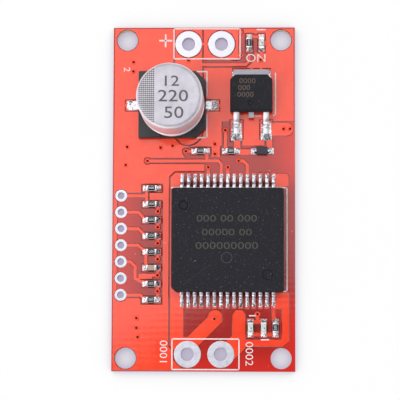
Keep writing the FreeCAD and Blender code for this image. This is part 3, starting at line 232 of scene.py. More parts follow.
def mound(half_x, half_y, height, base, x=0.0, y=0.0, turn=0.0, columns=9, rows=17):
    """A drop of solder on a rectangular land, as heights over a grid from -1 to 1 both ways.

    height(u, v) gives the rise; it is multiplied by (1 - u^6)(1 - v^6) so that it comes down to the base
    at the land's edge, and the corners of the plan are drawn in a little, as surface tension does.
    """
    u, v = np.meshgrid(np.sin(np.linspace(-0.5, 0.5, columns) * math.pi),
                       np.sin(np.linspace(-0.5, 0.5, rows) * math.pi))
    pull = 1 - 0.06 * u ** 4 * v ** 4
    rise = np.maximum(height(u, v), 0.0) * (1 - u ** 6) * (1 - v ** 6)
    grid = np.stack([u * half_x * pull, v * half_y * pull, base + rise], -1)
    return moved(quilt(grid), x, y, turn)


def whole_faces(node):
    """A solid's mesh with its doubles merged and its flat triangles joined into whole faces."""
    shell = bmesh.new()
    shell.from_mesh(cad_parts[node].data)
    bmesh.ops.remove_doubles(shell, verts=shell.verts, dist=0.002 * MM)
    bmesh.ops.dissolve_limit(shell, angle_limit=math.radians(1.0), verts=shell.verts, edges=shell.edges)
    return shell


def rounded_copy(name, node, width, finish, segments=2):
    """A copy of a solid with every sharp edge eased by a bevel."""
    shell = whole_faces(node)
    mesh = bpy.data.meshes.new(name)
    shell.to_mesh(mesh)
    shell.free()
    mesh.shade_smooth()
    mesh.set_sharp_from_angle(angle=math.radians(25))
    thing = put(name, mesh, finish, [node])
    bevel = thing.modifiers.new("eased edges", "BEVEL")
    bevel.width = width * MM
    bevel.segments = segments
    bevel.limit_method = "ANGLE"
    bevel.angle_limit = math.radians(25)
    bevel.use_clamp_overlap = True
    bevel.harden_normals = True
    return thing


# %% [markdown]
# ## Colour and node helpers
#
# Colours are written the way a paint chart or a web page gives them, as sRGB hex. The renderer counts
# light, so the values are turned to linear first. One function adds any kind of node; keeping it that
# plain makes each material read like a recipe.
#
# The real grain of plating, glass, ceramic, ink and moulded resin is a few thousandths to hundredths of a
# millimetre, too fine to show from here. So the finishes draw it coarser, at 0.06 to 0.3 mm. Ripples of
# film, blown tin and solder, at 0.3 to 0.5 mm, are about as broad as real ones.

# %% Hex to linear, and one way to add a node
def linear(code):
    """An sRGB hex colour as linear red, green, blue and alpha."""
    shade = np.array([int(code[i:i + 2], 16) for i in (1, 3, 5)]) / 255
    light = np.where(shade <= 0.04045, shade / 12.92, ((shade + 0.055) / 1.055) ** 2.4)
    return (*light.tolist(), 1.0)


def add(tree, kind, settings=None, **links):
    """Adds a node. Settings fill its sockets or its own properties; each link is (node, output)."""
    node = tree.nodes.new("ShaderNode" + kind)
    for key, value in (settings or {}).items():
        if isinstance(key, int) or key in node.inputs:
            node.inputs[key].default_value = value
        else:
            setattr(node, key, value)
    for socket, (source, output) in links.items():
        place = int(socket[1:]) if socket[1:].isdigit() and socket[0] == "n" else socket.replace("_", " ")
        tree.links.new(source.outputs[output], node.inputs[place])
    return node


# A wave texture repeats about this many times over one unit at a scale of one.
WAVE = 3.2


def per_mm(size):
    """The texture scale at which a pattern's features are about so many millimetres across."""
    return 1.0 / (size * MM)


def finish(name, shades, patch, grain, relief, rough, settings=None, stretch=(1.0, 1.0, 1.0)):
    """A finish with two shades in soft patches, and a grain that stands proud by the relief, all in mm.

    The patches also swing the roughness between its two values, so no part of the surface is quite even.
    A stretch below 1 draws the pattern out along that axis, as rolling or brushing does. Returns the
    material and the nodes that a special finish may build on.
    """
    material = bpy.data.materials.new(name)
    material.use_nodes = True
    tree = material.node_tree
    shader = tree.nodes["Principled BSDF"]
    for socket, value in (settings or {}).items():
        shader.inputs[socket].default_value = value
    place = add(tree, "TexCoord")
    drawn = add(tree, "Mapping", {"Scale": stretch}, Vector=(place, "Object"))
    patches = add(tree, "TexNoise", {"Scale": per_mm(patch), "Detail": 3.0, "Roughness": 0.6},
                  Vector=(drawn, "Vector"))
    contrast = add(tree, "MapRange", {"From Min": 0.3, "From Max": 0.7}, Value=(patches, "Fac"))
    colour = add(tree, "Mix", {"data_type": "RGBA", 6: linear(shades[0]), 7: linear(shades[1])},
                 n0=(contrast, "Result"))
    tree.links.new(colour.outputs[2], shader.inputs["Base Color"])
    gloss = add(tree, "MapRange", {"From Min": 0.3, "From Max": 0.7, "To Min": rough[0], "To Max": rough[1]},
                Value=(patches, "Fac"))
    tree.links.new(gloss.outputs["Result"], shader.inputs["Roughness"])
    speckle = add(tree, "TexNoise", {"Scale": per_mm(grain), "Detail": 2.0}, Vector=(drawn, "Vector"))
    bump = add(tree, "Bump", {"Strength": 1.0, "Distance": relief * MM}, Height=(speckle, "Fac"))
    tree.links.new(bump.outputs["Normal"], shader.inputs["Normal"])
    return material, {"tree": tree, "shader": shader, "place": place, "patches": patches,
                      "colour": colour, "speckle": speckle, "bump": bump}


def flecked(parts, shade, spacing, radius):
    """Specks of another shade: the points of a cell pattern, one to a cell, kept where they are nearer than
    the radius. Spacing and radius are in mm."""
    tree = parts["tree"]
    cells = add(tree, "TexVoronoi", {"Scale": per_mm(spacing)}, Vector=(parts["place"], "Object"))
    near = add(tree, "Math", {"operation": "LESS_THAN", 1: radius / spacing}, n0=(cells, "Distance"))
    both = add(tree, "Mix", {"data_type": "RGBA", 7: linear(shade)}, n0=(near, 0), n6=(parts["colour"], 2))
    tree.links.new(both.outputs[2], parts["shader"].inputs["Base Color"])
    parts["colour"] = both


def woven(parts, pitch, relief):
    """Ribs of the glass cloth that show through a film: two waves at right angles, both as relief, in mm."""
    tree, normal = parts["tree"], parts["bump"]
    for way in "XY":
        ribs = add(tree, "TexWave", {"bands_direction": way, "Scale": per_mm(pitch) / WAVE, "Distortion": 1.2,
                                     "Detail": 1.0, "Detail Scale": 0.6}, Vector=(parts["place"], "Object"))
        normal = add(tree, "Bump", {"Distance": relief * MM}, Height=(ribs, "Fac"), Normal=(normal, "Normal"))
    tree.links.new(normal.outputs["Normal"], parts["shader"].inputs["Normal"])


# %% [markdown]
# ## Light and camera
#
# The board is seen from almost straight above, a little from its output end, through a long lens. One
# large soft panel hangs overhead towards the supply end. A glossy film mirrors a few percent of it, which
# is the pale veil over most of the board, and it fades towards the far corner where the mirrored
# direction runs off the panel. A small panel beside it carries the veil to a patch at the board's east
# edge. Four side panels, a little over half as high, light the walls and the metal, and the sky adds a
# weak even fill.

# %% The camera
AIM = np.array([-0.56, -0.30, SEAT])
HEIGHT = 300.0
SOUTH = 30.0
EAST = 10.0
ROLL = 0.2
camera_data = bpy.data.cameras.new("long_lens")
camera = bpy.data.objects.new("long_lens", camera_data)
bpy.context.scene.collection.objects.link(camera)
camera.location = Vector((AIM + (EAST, -SOUTH, HEIGHT)) * MM)
gaze = Vector(AIM * MM) - camera.location
right = gaze.cross(Vector((0, 1, 0))).normalized()
up = right.cross(gaze).normalized()
upright = Matrix((right, up, -gaze.normalized())).transposed()
camera.rotation_euler = (upright @ Matrix.Rotation(math.radians(ROLL), 3, "Z")).to_euler()
FRAME_WIDTH = 61.3
camera_data.lens = 36.0 * gaze.length / (FRAME_WIDTH * MM)
camera_data.clip_start = 0.005
camera_data.clip_end = 20.0
bpy.context.scene.camera = camera
bpy.context.scene.view_settings.view_transform = "Standard"
print("lens", round(camera_data.lens, 1), "mm at", round(gaze.length / MM, 1), "mm")


# %% The panels and the sky
def panel(name, where, size, radiance, at=(0.0, 0.0, 0.0), roll=0.0):
    """A soft rectangular lamp. A panel's power is its radiance times pi times its area."""
    data = bpy.data.lights.new(name, "AREA")
    data.shape = "RECTANGLE"
    data.size, data.size_y = (side * MM for side in size)
    data.energy = radiance * math.pi * data.size * data.size_y
    lamp = bpy.data.objects.new(name, data)
    bpy.context.scene.collection.objects.link(lamp)
    lamp.location = Vector(where) * MM
    facing = (Vector(at) * MM - lamp.location).to_track_quat("-Z", "Y").to_matrix()
    lamp.rotation_euler = (facing @ Matrix.Rotation(math.radians(roll), 3, "Z")).to_euler()
    return lamp


# The overhead panels' height in mm, the radiance that the film mirrors, and their slant in degrees.
LEVEL, VEIL, SLANT = 400.0, 2.15, 29.0
panel("overhead", (-156, 128, LEVEL), (420, 360), VEIL, at=(-156, 128, 0), roll=SLANT)
panel("west", (-400, -60, 240), (300, 420), 1.75)
panel("east", (430, 60, 250), (300, 420), 1.55)
panel("overhead_corner", (27, 15.6, LEVEL), (30, 12), VEIL, at=(27, 15.6, 0), roll=SLANT)
panel("south", (-160, -440, 220), (420, 240), 3.0)
panel("north", (60, 500, 230), (420, 240), 1.0)

sky = bpy.data.worlds.new("studio")
bpy.context.scene.world = sky
sky.use_nodes = True
sky.node_tree.nodes["Background"].inputs["Color"].default_value = linear("#F4F6FF")
sky.node_tree.nodes["Background"].inputs["Strength"].default_value = 0.28


# %% [markdown]
# ## The paper sweep
#
# The board lies on white paper that curves up far behind it. The paper is a profile carried round, like
# a shallow bowl with a wide flat floor. Part of its white is given to the camera directly, so the
# background stays white while the board's shadow still shows faintly. Close to the board that given
# white is dimmed by how much of the sky is hidden from it, which draws a thin contact shadow.

# %% Paper
paper = bpy.data.materials.new("matt_white_paper")
paper.use_nodes = True
tree = paper.node_tree
tree.nodes.clear()
place = add(tree, "TexCoord")
fibre = add(tree, "TexNoise", {"Scale": per_mm(8.0), "Detail": 4.0}, Vector=(place, "Object"))
tone = add(tree, "Mix", {"data_type": "RGBA", 6: linear("#F7F7FA"), 7: linear("#FCFCFE")}, n0=(fibre, "Fac"))
sheet = add(tree, "BsdfDiffuse", Color=(tone, 2))
CREVICE = 3.6  # how far the contact shadow reaches from the board, in mm
open_sky = add(tree, "AmbientOcclusion", {"Distance": CREVICE * MM, "samples": 8})
clear = add(tree, "MapRange", {"interpolation_type": "SMOOTHSTEP", "From Min": 0.1, "From Max": 0.95},
            Value=(open_sky, "AO"))
shade = add(tree, "Mix", {"data_type": "RGBA", 6: linear("#B2A7C0"), 7: (1.0, 1.0, 1.0, 1.0)}, n0=(clear, 0))
glow = add(tree, "Emission", {"Strength": 1.0}, Color=(shade, 2))
ray = add(tree, "LightPath")
seen = add(tree, "Math", {"operation": "MAXIMUM"}, n0=(ray, "Is Camera Ray"), n1=(ray, "Is Glossy Ray"))
seen = add(tree, "Math", {"operation": "MAXIMUM"}, n0=(seen, 0), n1=(ray, "Is Transmission Ray"))
out = add(tree, "VectorMath", {"operation": "LENGTH"}, n0=(place, "Object"))
glowing = add(tree, "MapRange", {"From Min": 40.0 * MM, "From Max": 120.0 * MM, "To Min": 0.92,
                                 "To Max": 1.0}, Value=(out, "Value"))
share = add(tree, "Math", {"operation": "MULTIPLY"}, n0=(seen, 0), n1=(glowing, 0))
both = add(tree, "MixShader", n0=(share, 0), n1=(sheet, 0), n2=(glow, 0))
add(tree, "OutputMaterial", Surface=(both, 0))

sweep = eased([(1.0, -0.02), (1500.0, -0.02), (1900.0, 900.0)], 380.0, steps=12, closed=False)
points, quads, caps = turned(sweep[::-1], 0.0, 0.0, sides=96)
mesh = bpy.data.meshes.new("paper_sweep")
mesh.from_pydata((points * MM).tolist(), [], quads.tolist() + [caps[1].tolist()])
mesh.shade_smooth()
mesh.materials.append(paper)
floor = bpy.data.objects.new("paper_sweep", mesh)
bpy.context.scene.collection.objects.link(floor)
print("paper", len(mesh.polygons), "faces")

# %% [markdown]
# ## Solder mask, laminate and copper
#
# Solder mask is a liquid epoxy, curtain-coated and baked: clear, glossy, coloured by a red pigment. Over
# bare laminate it looks deep red; over copper, which throws the light back through it, it glows orange
# red. So the laminate and the foil get the same film with different shades. The laminate's sawn edge
# shows no mask at all: there it is layers of glass cloth in yellowish resin, about eight in such a board.
#
# The film over bare laminate looks lighter towards the board's edges. Carrying light through the laminate
# would be slow, so a lighter red is mixed in by position as painted light, and kept off the ground beside
# the driver as the package's painted shade. It also rises a little from the output end to the supply end,
# which is painted light too.

# %% Mask over laminate, with the glass cloth at its edges
# Baked epoxy film, IOR 1.5: a sharp gloss on deep red, which a soft ripple keeps from being a mirror.
mask_on_laminate, parts = finish(
    "solder_mask_over_glass_epoxy", ("#981812", "#AA1E17"), patch=5.0, grain=0.35, relief=0.002,
    rough=(0.08, 0.11), settings={"IOR": 1.5})
tree = parts["tree"]
where = add(tree, "SeparateXYZ", Vector=(parts["place"], "Object"))
from_middle = add(tree, "VectorMath", {"operation": "ABSOLUTE"}, n0=(parts["place"], "Object"))
from_middle = add(tree, "SeparateXYZ", Vector=(from_middle, 0))
from_driver = add(tree, "VectorMath", {"operation": "SUBTRACT", 1: tuple(middle("driver_body") * MM)},
                  n0=(parts["place"], "Object"))
from_driver = add(tree, "VectorMath", {"operation": "ABSOLUTE"}, n0=(from_driver, 0))
from_driver = add(tree, "SeparateXYZ", Vector=(from_driver, 0))


def climb(source, axis, start, stop, low=0.0, high=1.0):
    """A smooth climb between two values, over two distances in mm along one axis."""
    return add(tree, "MapRange", {"interpolation_type": "SMOOTHSTEP", "From Min": start * MM,
                                  "From Max": stop * MM, "To Min": low, "To Max": high}, Value=(source, axis))


# Painted light: a lighter red towards the long edges, the short edges and the supply end, held back beside
# the driver as its painted shade.
beside = climb(from_driver, "X", 10.5, 14.0, 0.3, 0.85)
beyond = climb(from_driver, "Y", 6.5, 12.0, 0.3, 1.0)
out_of_driver_shade = add(tree, "Math", {"operation": "MAXIMUM"}, n0=(beside, 0), n1=(beyond, 0))
to_long_edge = climb(from_middle, "X", 8.0, 14.5)
to_short_edge = climb(from_middle, "Y", 20.5, 27.5)
painted_northward_light = climb(where, "Y", -16.0, 5.0, 0.0, 0.22)
long_edge = add(tree, "Math", {"operation": "MULTIPLY"}, n0=(to_long_edge, 0), n1=(out_of_driver_shade, 0))
either = add(tree, "Math", {"operation": "MAXIMUM"}, n0=(long_edge, 0), n1=(to_short_edge, 0))
painted_edge_light = add(tree, "Math", {"operation": "MAXIMUM"}, n0=(either, 0), n1=(painted_northward_light, 0))
painted_light_mix = add(tree, "Mix", {"data_type": "RGBA", 7: linear("#D8281B")}, n0=(painted_edge_light, 0),
          n6=(parts["colour"], 2))
parts["colour"] = painted_light_mix
# Dust and bubbles caught in the film show as pale specks a tenth of a millimetre across.
flecked(parts, "#F0B8B0", 2.4, 0.06)
# Yarns of common board cloth lie 0.6 to 0.8 mm apart. The ribs are a little coarser, so that they show.
YARN, RIB = 0.95, 0.0011
woven(parts, YARN, RIB)
MID_LEVEL = (BOARD_LOW[2] + BOARD_HIGH[2]) / 2 * MM
CORE_HALF = (BOARD_HIGH[2] - BOARD_LOW[2]) / 2 * MM
off_middle = add(tree, "Math", {"operation": "SUBTRACT", 1: MID_LEVEL}, n0=(where, "Z"))
depth = add(tree, "Math", {"operation": "ABSOLUTE"}, n0=(off_middle, 0))
inside = add(tree, "Math", {"operation": "LESS_THAN", 1: CORE_HALF - 0.004 * MM}, n0=(depth, 0))
CLOTH_LAYER = 0.18  # one pressed layer of heavy cloth, in mm
cloth = add(tree, "TexWave", {"bands_direction": "Z", "Scale": per_mm(CLOTH_LAYER) / WAVE, "Distortion": 0.6,
                              "Detail": 2.0, "Detail Scale": 3.0}, Vector=(parts["place"], "Object"))
edge = add(tree, "Mix", {"data_type": "RGBA", 6: linear("#A8945C"), 7: linear("#D8CB9A")}, n0=(cloth, "Fac"))
skin = add(tree, "Mix", {"data_type": "RGBA"}, n0=(inside, 0), n6=(parts["colour"], 2), n7=(edge, 2))
tree.links.new(skin.outputs[2], parts["shader"].inputs["Base Color"])

# The same film over foil: the metal throws light back through the pigment, so it glows orange red.
mask_on_copper, parts = finish(
    "solder_mask_over_copper", ("#FA4020", "#FF4C2A"), patch=3.0, grain=0.5, relief=0.002,
    rough=(0.08, 0.11), settings={"IOR": 1.5})
flecked(parts, "#FFC8BC", 2.9, 0.055)
woven(parts, YARN, RIB)

dress("board_laminate", mask_on_laminate)
rounded_copy("copper_under_mask", "top_copper", 0.045, mask_on_copper)
dress("bottom_copper", mask_on_copper)

# %% [markdown]
# ## The film at the foil's edge
#
# Liquid mask runs off the edge of the foil and pools at its foot, so every track has a dark red slope
# along it. That dark is partly the deeper film and partly painted shade along the step. The slope needs
# no drawing: the foil's own sharp upper edges give the line, and the wall below each edge says which way
# is out.

# %% Slopes of mask along every track
def foot_slope(shell, reach_out, level, foot):
    """A three-sided band along a foil's upper edges: one line on the edge, one below it, one below and out.

    At each corner the way out is the mean of the two walls' normals, made longer by 1 / cos of half the turn.
    """
    runs, ways = [], []
    for edge in shell.edges:
        walls = [face for face in edge.link_faces if abs(face.normal.z) < 0.5]
        upper = min(corner.co.z for corner in edge.verts) > (level - 0.01) * MM
        if len(walls) == 1 and len(edge.link_faces) == 2 and upper:
            runs.append([corner.index for corner in edge.verts])
            ways.append(walls[0].normal.xy.normalized())
    runs, ways = np.array(runs), np.array(ways)
    used, runs = np.unique(runs, return_inverse=True)
    runs = runs.reshape(-1, 2)
    out = np.zeros((len(used), 2))
    np.add.at(out, runs[:, 0], ways)
    np.add.at(out, runs[:, 1], ways)
    # At a very sharp turn the sum is small and the corner would run far out, so it is held at 0.8.
    out = 2 * out / np.maximum(np.sum(out ** 2, axis=1, keepdims=True), 0.8)
    shell.verts.ensure_lookup_table()
    flat = np.array([shell.verts[i].co.xy for i in used]) / MM
    count = len(used)
    points = np.concatenate([np.column_stack([flat, np.full(count, level)]),
                             np.column_stack([flat, np.full(count, foot)]),
                             np.column_stack([flat + out * reach_out, np.full(count, foot)])])
    a, b = runs.T
    bands = [np.stack([a + i * count, b + i * count, b + j * count, a + j * count], -1)
             for i, j in ((0, 1), (1, 2), (2, 0))]
    return points, np.concatenate(bands), []


# The film lies deepest at a step's foot, so its red is darkest there; part of that dark is painted shade of
# the step.
pooled_and_shaded, _ = finish("solder_mask_pooled_at_a_step", ("#6E1812", "#84211A"), patch=1.5, grain=0.3, relief=0.002,
                   rough=(0.1, 0.16), settings={"IOR": 1.5})
shell = whole_faces("top_copper")
shell.verts.index_update()
slopes = piece("mask_at_foil_edges", [foot_slope(shell, 0.1, FOIL - 0.002, FACE + 0.002)], pooled_and_shaded,
               crease=20.0)
shell.free()
outward = bmesh.new()
outward.from_mesh(slopes.data)
bmesh.ops.recalc_face_normals(outward, faces=outward.faces)
print("edges that do not close:", sum(not edge.is_manifold for edge in outward.edges))
outward.to_mesh(slopes.data)
outward.free()

# %% [markdown]
# ## Plated and tinned rings
#
# A hole that takes a wire is drilled, plated through with copper and dipped in molten tin, which an air
# knife then blows level. The tin follows the ring's edge with a soft lip and curls into the bore. Each
# ring is one closed profile carried round.

# %% Rings
# A metal, blown level while molten: a blurred pale mirror with broad, lazy waves about 0.4 mm across.
tin, _ = finish("hot_air_levelled_tin", ("#C0C0CA", "#DCDCE4"), patch=0.9, grain=0.4, relief=0.012,
                rough=(0.34, 0.5), settings={"Metallic": 1.0})


def ring(bore, rim, low, high):
    """The section of a plated hole: two flanges with soft lips, joined by a barrel with a thin wall."""
    lip = 0.035
    return [(rim, high - 0.1), (rim, high - lip), (rim - 0.4 * lip, high - 0.3 * lip),
            (rim - 1.4 * lip, high), (rim - 2.0 * lip, high), (bore + 2.2 * lip, high),
            (bore + 1.6 * lip, high), (bore + 0.5 * lip, high - 0.3 * lip), (bore, high - lip),
            (bore, low + lip), (bore + 0.5 * lip, low + 0.3 * lip), (bore + 1.6 * lip, low),
            (rim - 1.4 * lip, low), (rim - 0.4 * lip, low + 0.3 * lip), (rim, low + lip),
            (rim, low + 0.1), (bore + lip, low + 0.1), (bore + lip, high - 0.1)]


WIRE_BORE = 1.0
for node in ("supply_eyelet_positive", "supply_eyelet_negative", "output_eyelet_one", "output_eyelet_two"):
    low, high = reach(node)
    x, y, _ = middle(node)
    section = ring(WIRE_BORE, (high[0] - low[0]) / 2, low[2], high[2])
    piece(f"tinned_{node}", [turned(section, x, y, 72, True)], tin, [node])

low, high = reach("signal_eyelets")
SIGNAL_RIM, SIGNAL_BORE, SIGNAL_COUNT = 0.93, 0.5, 7
header_x = (low[0] + high[0]) / 2
header_y = np.linspace(low[1] + SIGNAL_RIM, high[1] - SIGNAL_RIM, SIGNAL_COUNT)
piece("tinned_signal_rings",
      [turned(ring(SIGNAL_BORE, SIGNAL_RIM, low[2], high[2]), header_x, y, 48, True) for y in header_y],
      tin, ["signal_eyelets"])

# %% [markdown]
# ## The power driver
#
# The large black package is epoxy filled with fine silica, moulded round a lead frame. The mould's
# spark-eroded face leaves it matt, and the silica gives it a faintly sparkling grain. Its thirty leads
# are tinned copper, cut, bent down and out, and soldered to thirty narrow lands.

# %% Moulding compound
# Silica grains are 0.02 to 0.05 mm across, too fine to show. Grain and specks are drawn coarser, so the
# black looks matt with a faint sparkle. Filled epoxy, IOR 1.47, rough.
compound, parts = finish(
    "silica_filled_moulding_compound", ("#060611", "#0E0E1A"), patch=1.1, grain=0.2, relief=0.014,
    rough=(0.58, 0.7), settings={"IOR": 1.47, "Specular IOR Level": 0.4})
flecked(parts, "#34343F", 0.3, 0.06)
flecked(parts, "#5E5E6E", 0.6, 0.06)
flecked(parts, "#C4C4D0", 2.1, 0.06)

DRAFT = math.tan(math.radians(7.0))


def moulded(corners, ease, node, parting):
    """A moulded body: an eased outline, widest at the parting band, drawn in by the draft away from it."""
    low, high = reach(node)
    base, top = low[2] + 0.02, high[2]
    under, over = (parting[0] - base) * DRAFT, (top - parting[1]) * DRAFT
    soft = 0.09
    profile = [(under + soft, base), (under, base + soft), (0.0, parting[0]), (0.0, parting[1]),
               (over - 0.01, top - soft), (over + 0.3 * soft, top - 0.3 * soft), (over + soft, top),
               (over + 1.6 * soft, top)]
    x, y, _ = middle(node)
    return prism(eased(corners, ease, 7), profile, x, y)


def witness(x, y, radius, level, proud=0.05):
    """The dimple an ejector pin leaves: a low crater, steep inside and falling away slowly outside."""
    crater = [(radius + 0.35, level), (radius + 0.04, level + proud), (radius - 0.02, level + 0.9 * proud),
              (radius - 0.12, level + 0.006), (radius - 0.2, level)]
    return turned(crater, x, y, 40, closed=True)


low, high = reach("driver_body")
half_x, half_y = (high[0] - low[0]) / 2, (high[1] - low[1]) / 2
CUT = 0.75  # how far corners are cut off, on this package and on the transistor's
lead_high = reach("driver_leads_north")[1]
driver_shape = moulded([(half_x, -half_y), (half_x, half_y), (-half_x, half_y), (-half_x, CUT - half_y),
                        (CUT - half_x, -half_y)], [0.5, 0.5, 0.5, 0.25, 0.25], "driver_body",
                       (lead_high[2] - 0.27, lead_high[2]))
near_pin, far_pin = (high[0] - 2.5, low[1] + 2.6), (low[0] + 1.9, high[1] - 2.8)
piece("driver_moulding", [driver_shape, witness(*near_pin, 0.9, high[2] - 0.004),
                          witness(*far_pin, 0.8, high[2] - 0.004)],
      compound, ["driver_body"], 50.0)

# Painted shade: the same compound made near black on the steep wall of a dimple, where almost no light
# arrives.
dimple_painted_shade, _ = finish("painted_shade_in_a_dimple", ("#010104", "#030307"), patch=0.3, grain=0.15,
                   relief=0.004, rough=(0.7, 0.85), settings={"IOR": 1.47, "Specular IOR Level": 0.1})


def dimple_wall(x, y, radius, level):
    """A thin hoop of painted shade on the wall of a pin's dimple."""
    return turned([(radius, level - 0.01), (radius, level + 0.008), (radius - 0.14, level + 0.008),
                   (radius - 0.14, level - 0.01)], x, y, 40, closed=True)


piece("pin_dimple_painted_shade", [dimple_wall(*near_pin, 0.86, high[2]), dimple_wall(*far_pin, 0.74, high[2])],
      dimple_painted_shade)

# %% Leads
# Electroplated tin, a metal: dull and pale in patches, dark where it mirrors the packages.
leadframe, _ = finish("matt_tinned_lead_frame", ("#8C8C96", "#EDEDF2"), patch=0.3, grain=0.22, relief=0.03,
                      rough=(0.24, 0.4), settings={"Metallic": 1.0})
driver_x, driver_y, _ = middle("driver_body")
driver_low, driver_high = reach("driver_body")
LEAD_COUNT, LEAD_PITCH, LEAD_WIDTH, LEAD_GAUGE = 15, 1.0, 0.5, 0.27
lead_x = driver_x + (np.arange(LEAD_COUNT) - (LEAD_COUNT - 1) / 2) * LEAD_PITCH
root = driver_high[1] - driver_y
tip = reach("driver_leads_north")[1][1] - driver_y
shoulder = reach("driver_leads_north")[1][2] - LEAD_GAUGE / 2
foot = SEAT + LEAD_GAUGE / 2
path = eased([(root - 0.1, shoulder), (tip - 1.0, shoulder), (tip - 0.76, foot), (tip, foot)],
             0.32, steps=7, closed=False)
lead = strip(path, LEAD_WIDTH, LEAD_GAUGE, 0.05)
for side, turn in (("north", 0), ("south", 180)):
    piece(f"formed_leads_{side}", [moved(moved(lead, turn=turn), x, driver_y) for x in lead_x],
          leadframe, [f"driver_leads_{side}"])

# %% [markdown]
# ## Solder
#
# Reflowed solder wets the land and climbs whatever metal stands on it. Seen from the side it is a hollow
# curve, high against the lead and thin at the land's end. A height over a small grid says exactly that:
# a thin film plus a term that dies away with the square of the distance from the metal.

# %% Solder finish and the driver's lands
# Tin that froze from the melt, a metal: bright, with strong ripples, so highlights break up. Its dark patches
# are painted reflections of the dark parts around it.
solder, _ = finish("reflowed_tin_solder_with_painted_dark_reflections", ("#5E5E68", "#FCFCFF"), patch=0.3, grain=0.3, relief=0.12,
                   rough=(0.14, 0.34), settings={"Metallic": 1.0})
land_end = reach("driver_solder")[1][1] - driver_y
land_start = root
half_land = (land_end - land_start) / 2
mid_land = (land_end + land_start) / 2
toe = (tip - mid_land) / half_land
heel = (tip - 0.9 - mid_land) / half_land
film = SEAT - FACE
rng = np.random.default_rng(7)


def land_rise(waves):
    """Film, plus a hollow slope beyond the toe and one behind the heel, plus slow ripples."""
    def rise(u, v):
        beyond = np.clip((1 - v) / (1 - toe), 0, 1) ** 2 * (v > heel)
        behind = np.clip((v + 1) / (heel + 1), 0, 1) ** 2 * (v <= heel)
        ripple = 0.025 * np.sin(waves[0] + 5 * v) * np.sin(waves[1] + 2.5 * u + 3 * v)
        return film + 0.16 * np.maximum(beyond, behind) * (1 - 0.3 * u ** 2) + ripple
    return rise


drops = []
for turn in (0, 180):
    for x in lead_x:
        drop = mound(0.31, half_land, land_rise(rng.uniform(0, 6.3, 2)), FACE, 0.0, mid_land)
        drops.append(moved(moved(drop, turn=turn), x, driver_y))
piece("driver_solder_joints", drops, solder, ["driver_solder"])

# %% [markdown]
# ## Where the mask stays open
#
# Fine lands are too close for a web of mask between them, so the whole row is left open, and so is a
# margin round every chip. Bare glass epoxy shows there with no gloss, painted dark brown as the shade
# under the leads and round the chip ends. It is a slip two hundredths of a millimetre thick, which only
# fills the gaps between taller things.

# %% Openings beside the driver
# Bare glass epoxy without mask has no gloss. Its dark brown is painted shade from the leads and chip ends
# above it.
opening_painted_shade, _ = finish("bare_glass_epoxy_painted_shade", ("#42100C", "#6A1C14"), patch=0.5, grain=0.2, relief=0.004,
                    rough=(0.6, 0.8), settings={"IOR": 1.5})
SLIP = [(0.0, FACE - 0.004), (0.0, FACE + 0.014)]
MARGIN = 0.14  # how far an opening reaches past a land, in mm
row_half = (LEAD_COUNT - 1) / 2 * LEAD_PITCH + 0.2
openings = [prism(oblong(row_half, 0.62, 0.1, 3), SLIP, driver_x, driver_high[1] + 0.52),
            prism(oblong(row_half, 0.3, 0.1, 3), SLIP, driver_x, driver_low[1] - 0.2)]

# %% [markdown]
# ## The reservoir capacitor
#
# A surface-mount electrolytic: a can deep-drawn from aluminium sheet, rolled in near the bottom to grip
# its rubber plug, and set in a black moulded base. The top is stamped flat with a small round shoulder.
# The top is painted greyer and the wall paler, as lit and shaded copies of one metal. Ink marks the negative
# side as a screen of fine dots.

# %% The can
CAN = reach("capacitor_can")
can_x, can_y, _ = middle("capacitor_can")
can_r = (CAN[1][0] - CAN[0][0]) / 2
can_top = CAN[1][2] - 0.004
BEAD_FOOT, BEAD_DEPTH, SHOULDER = SEAT + 2.0, 0.46, 0.6
arc = np.linspace(0, math.pi / 2, 9)
rolled = eased([(-0.03, -0.9), (0.0, -0.7), (0.0, -0.02), (-BEAD_DEPTH, 0.14), (-BEAD_DEPTH, 0.5),
                (0.0, 1.5), (0.0, 1.9)], 0.16, steps=6, closed=False)
can_profile = np.concatenate([
    [(can_r - 0.5, CAN[0][2]), (can_r - 0.12, CAN[0][2] + 0.03)],
    rolled + (can_r, BEAD_FOOT),
    [(can_r, (BEAD_FOOT + can_top) / 2)],
    np.stack([can_r - SHOULDER + SHOULDER * np.cos(arc), can_top - SHOULDER + SHOULDER * np.sin(arc)], -1),
    [(can_r - 0.9, can_top - 0.02), (can_r - 1.4, can_top - 0.03), (0.5, can_top - 0.03)],
])
# Lacquer over the metal: less metallic than bare aluminium, and a satin sheen with no clear reflection.
SKIN = 0.6
aluminium, parts = finish("lacquered_deep_drawn_aluminium", ("#ACA8B1", "#C8C4CC"), patch=2.5, grain=0.25,
                          relief=0.004, rough=(0.4, 0.48), settings={"Metallic": SKIN})
tree = parts["tree"]
centred = add(tree, "Mapping", {"Location": (-can_x * MM, -can_y * MM, -can_top * MM)},
              Vector=(parts["place"], "Object"))
axes = add(tree, "SeparateXYZ", Vector=(centred, 0))
DOT_PITCH = 0.3  # from one dot of the ink's screen to the next, in mm
WAVES = 2 * math.pi / (DOT_PITCH * MM)
across = add(tree, "Math", {"operation": "MULTIPLY", 1: WAVES}, n0=(axes, "X"))
along = add(tree, "Math", {"operation": "MULTIPLY", 1: WAVES}, n0=(axes, "Y"))
wave_x = add(tree, "Math", {"operation": "COSINE"}, n0=(across, 0))
wave_y = add(tree, "Math", {"operation": "COSINE"}, n0=(along, 0))
both = add(tree, "Math", {"operation": "ADD"}, n0=(wave_x, 0), n1=(wave_y, 0))
dots = add(tree, "MapRange", {"From Min": -0.3, "From Max": 0.5}, Value=(both, 0))
west = add(tree, "Math", {"operation": "LESS_THAN", 1: -2.2 * MM}, n0=(axes, "X"))
on_top = add(tree, "Math", {"operation": "GREATER_THAN", 1: -0.1 * MM}, n0=(axes, "Z"))
inked = add(tree, "Math", {"operation": "MULTIPLY"}, n0=(west, 0), n1=(on_top, 0))
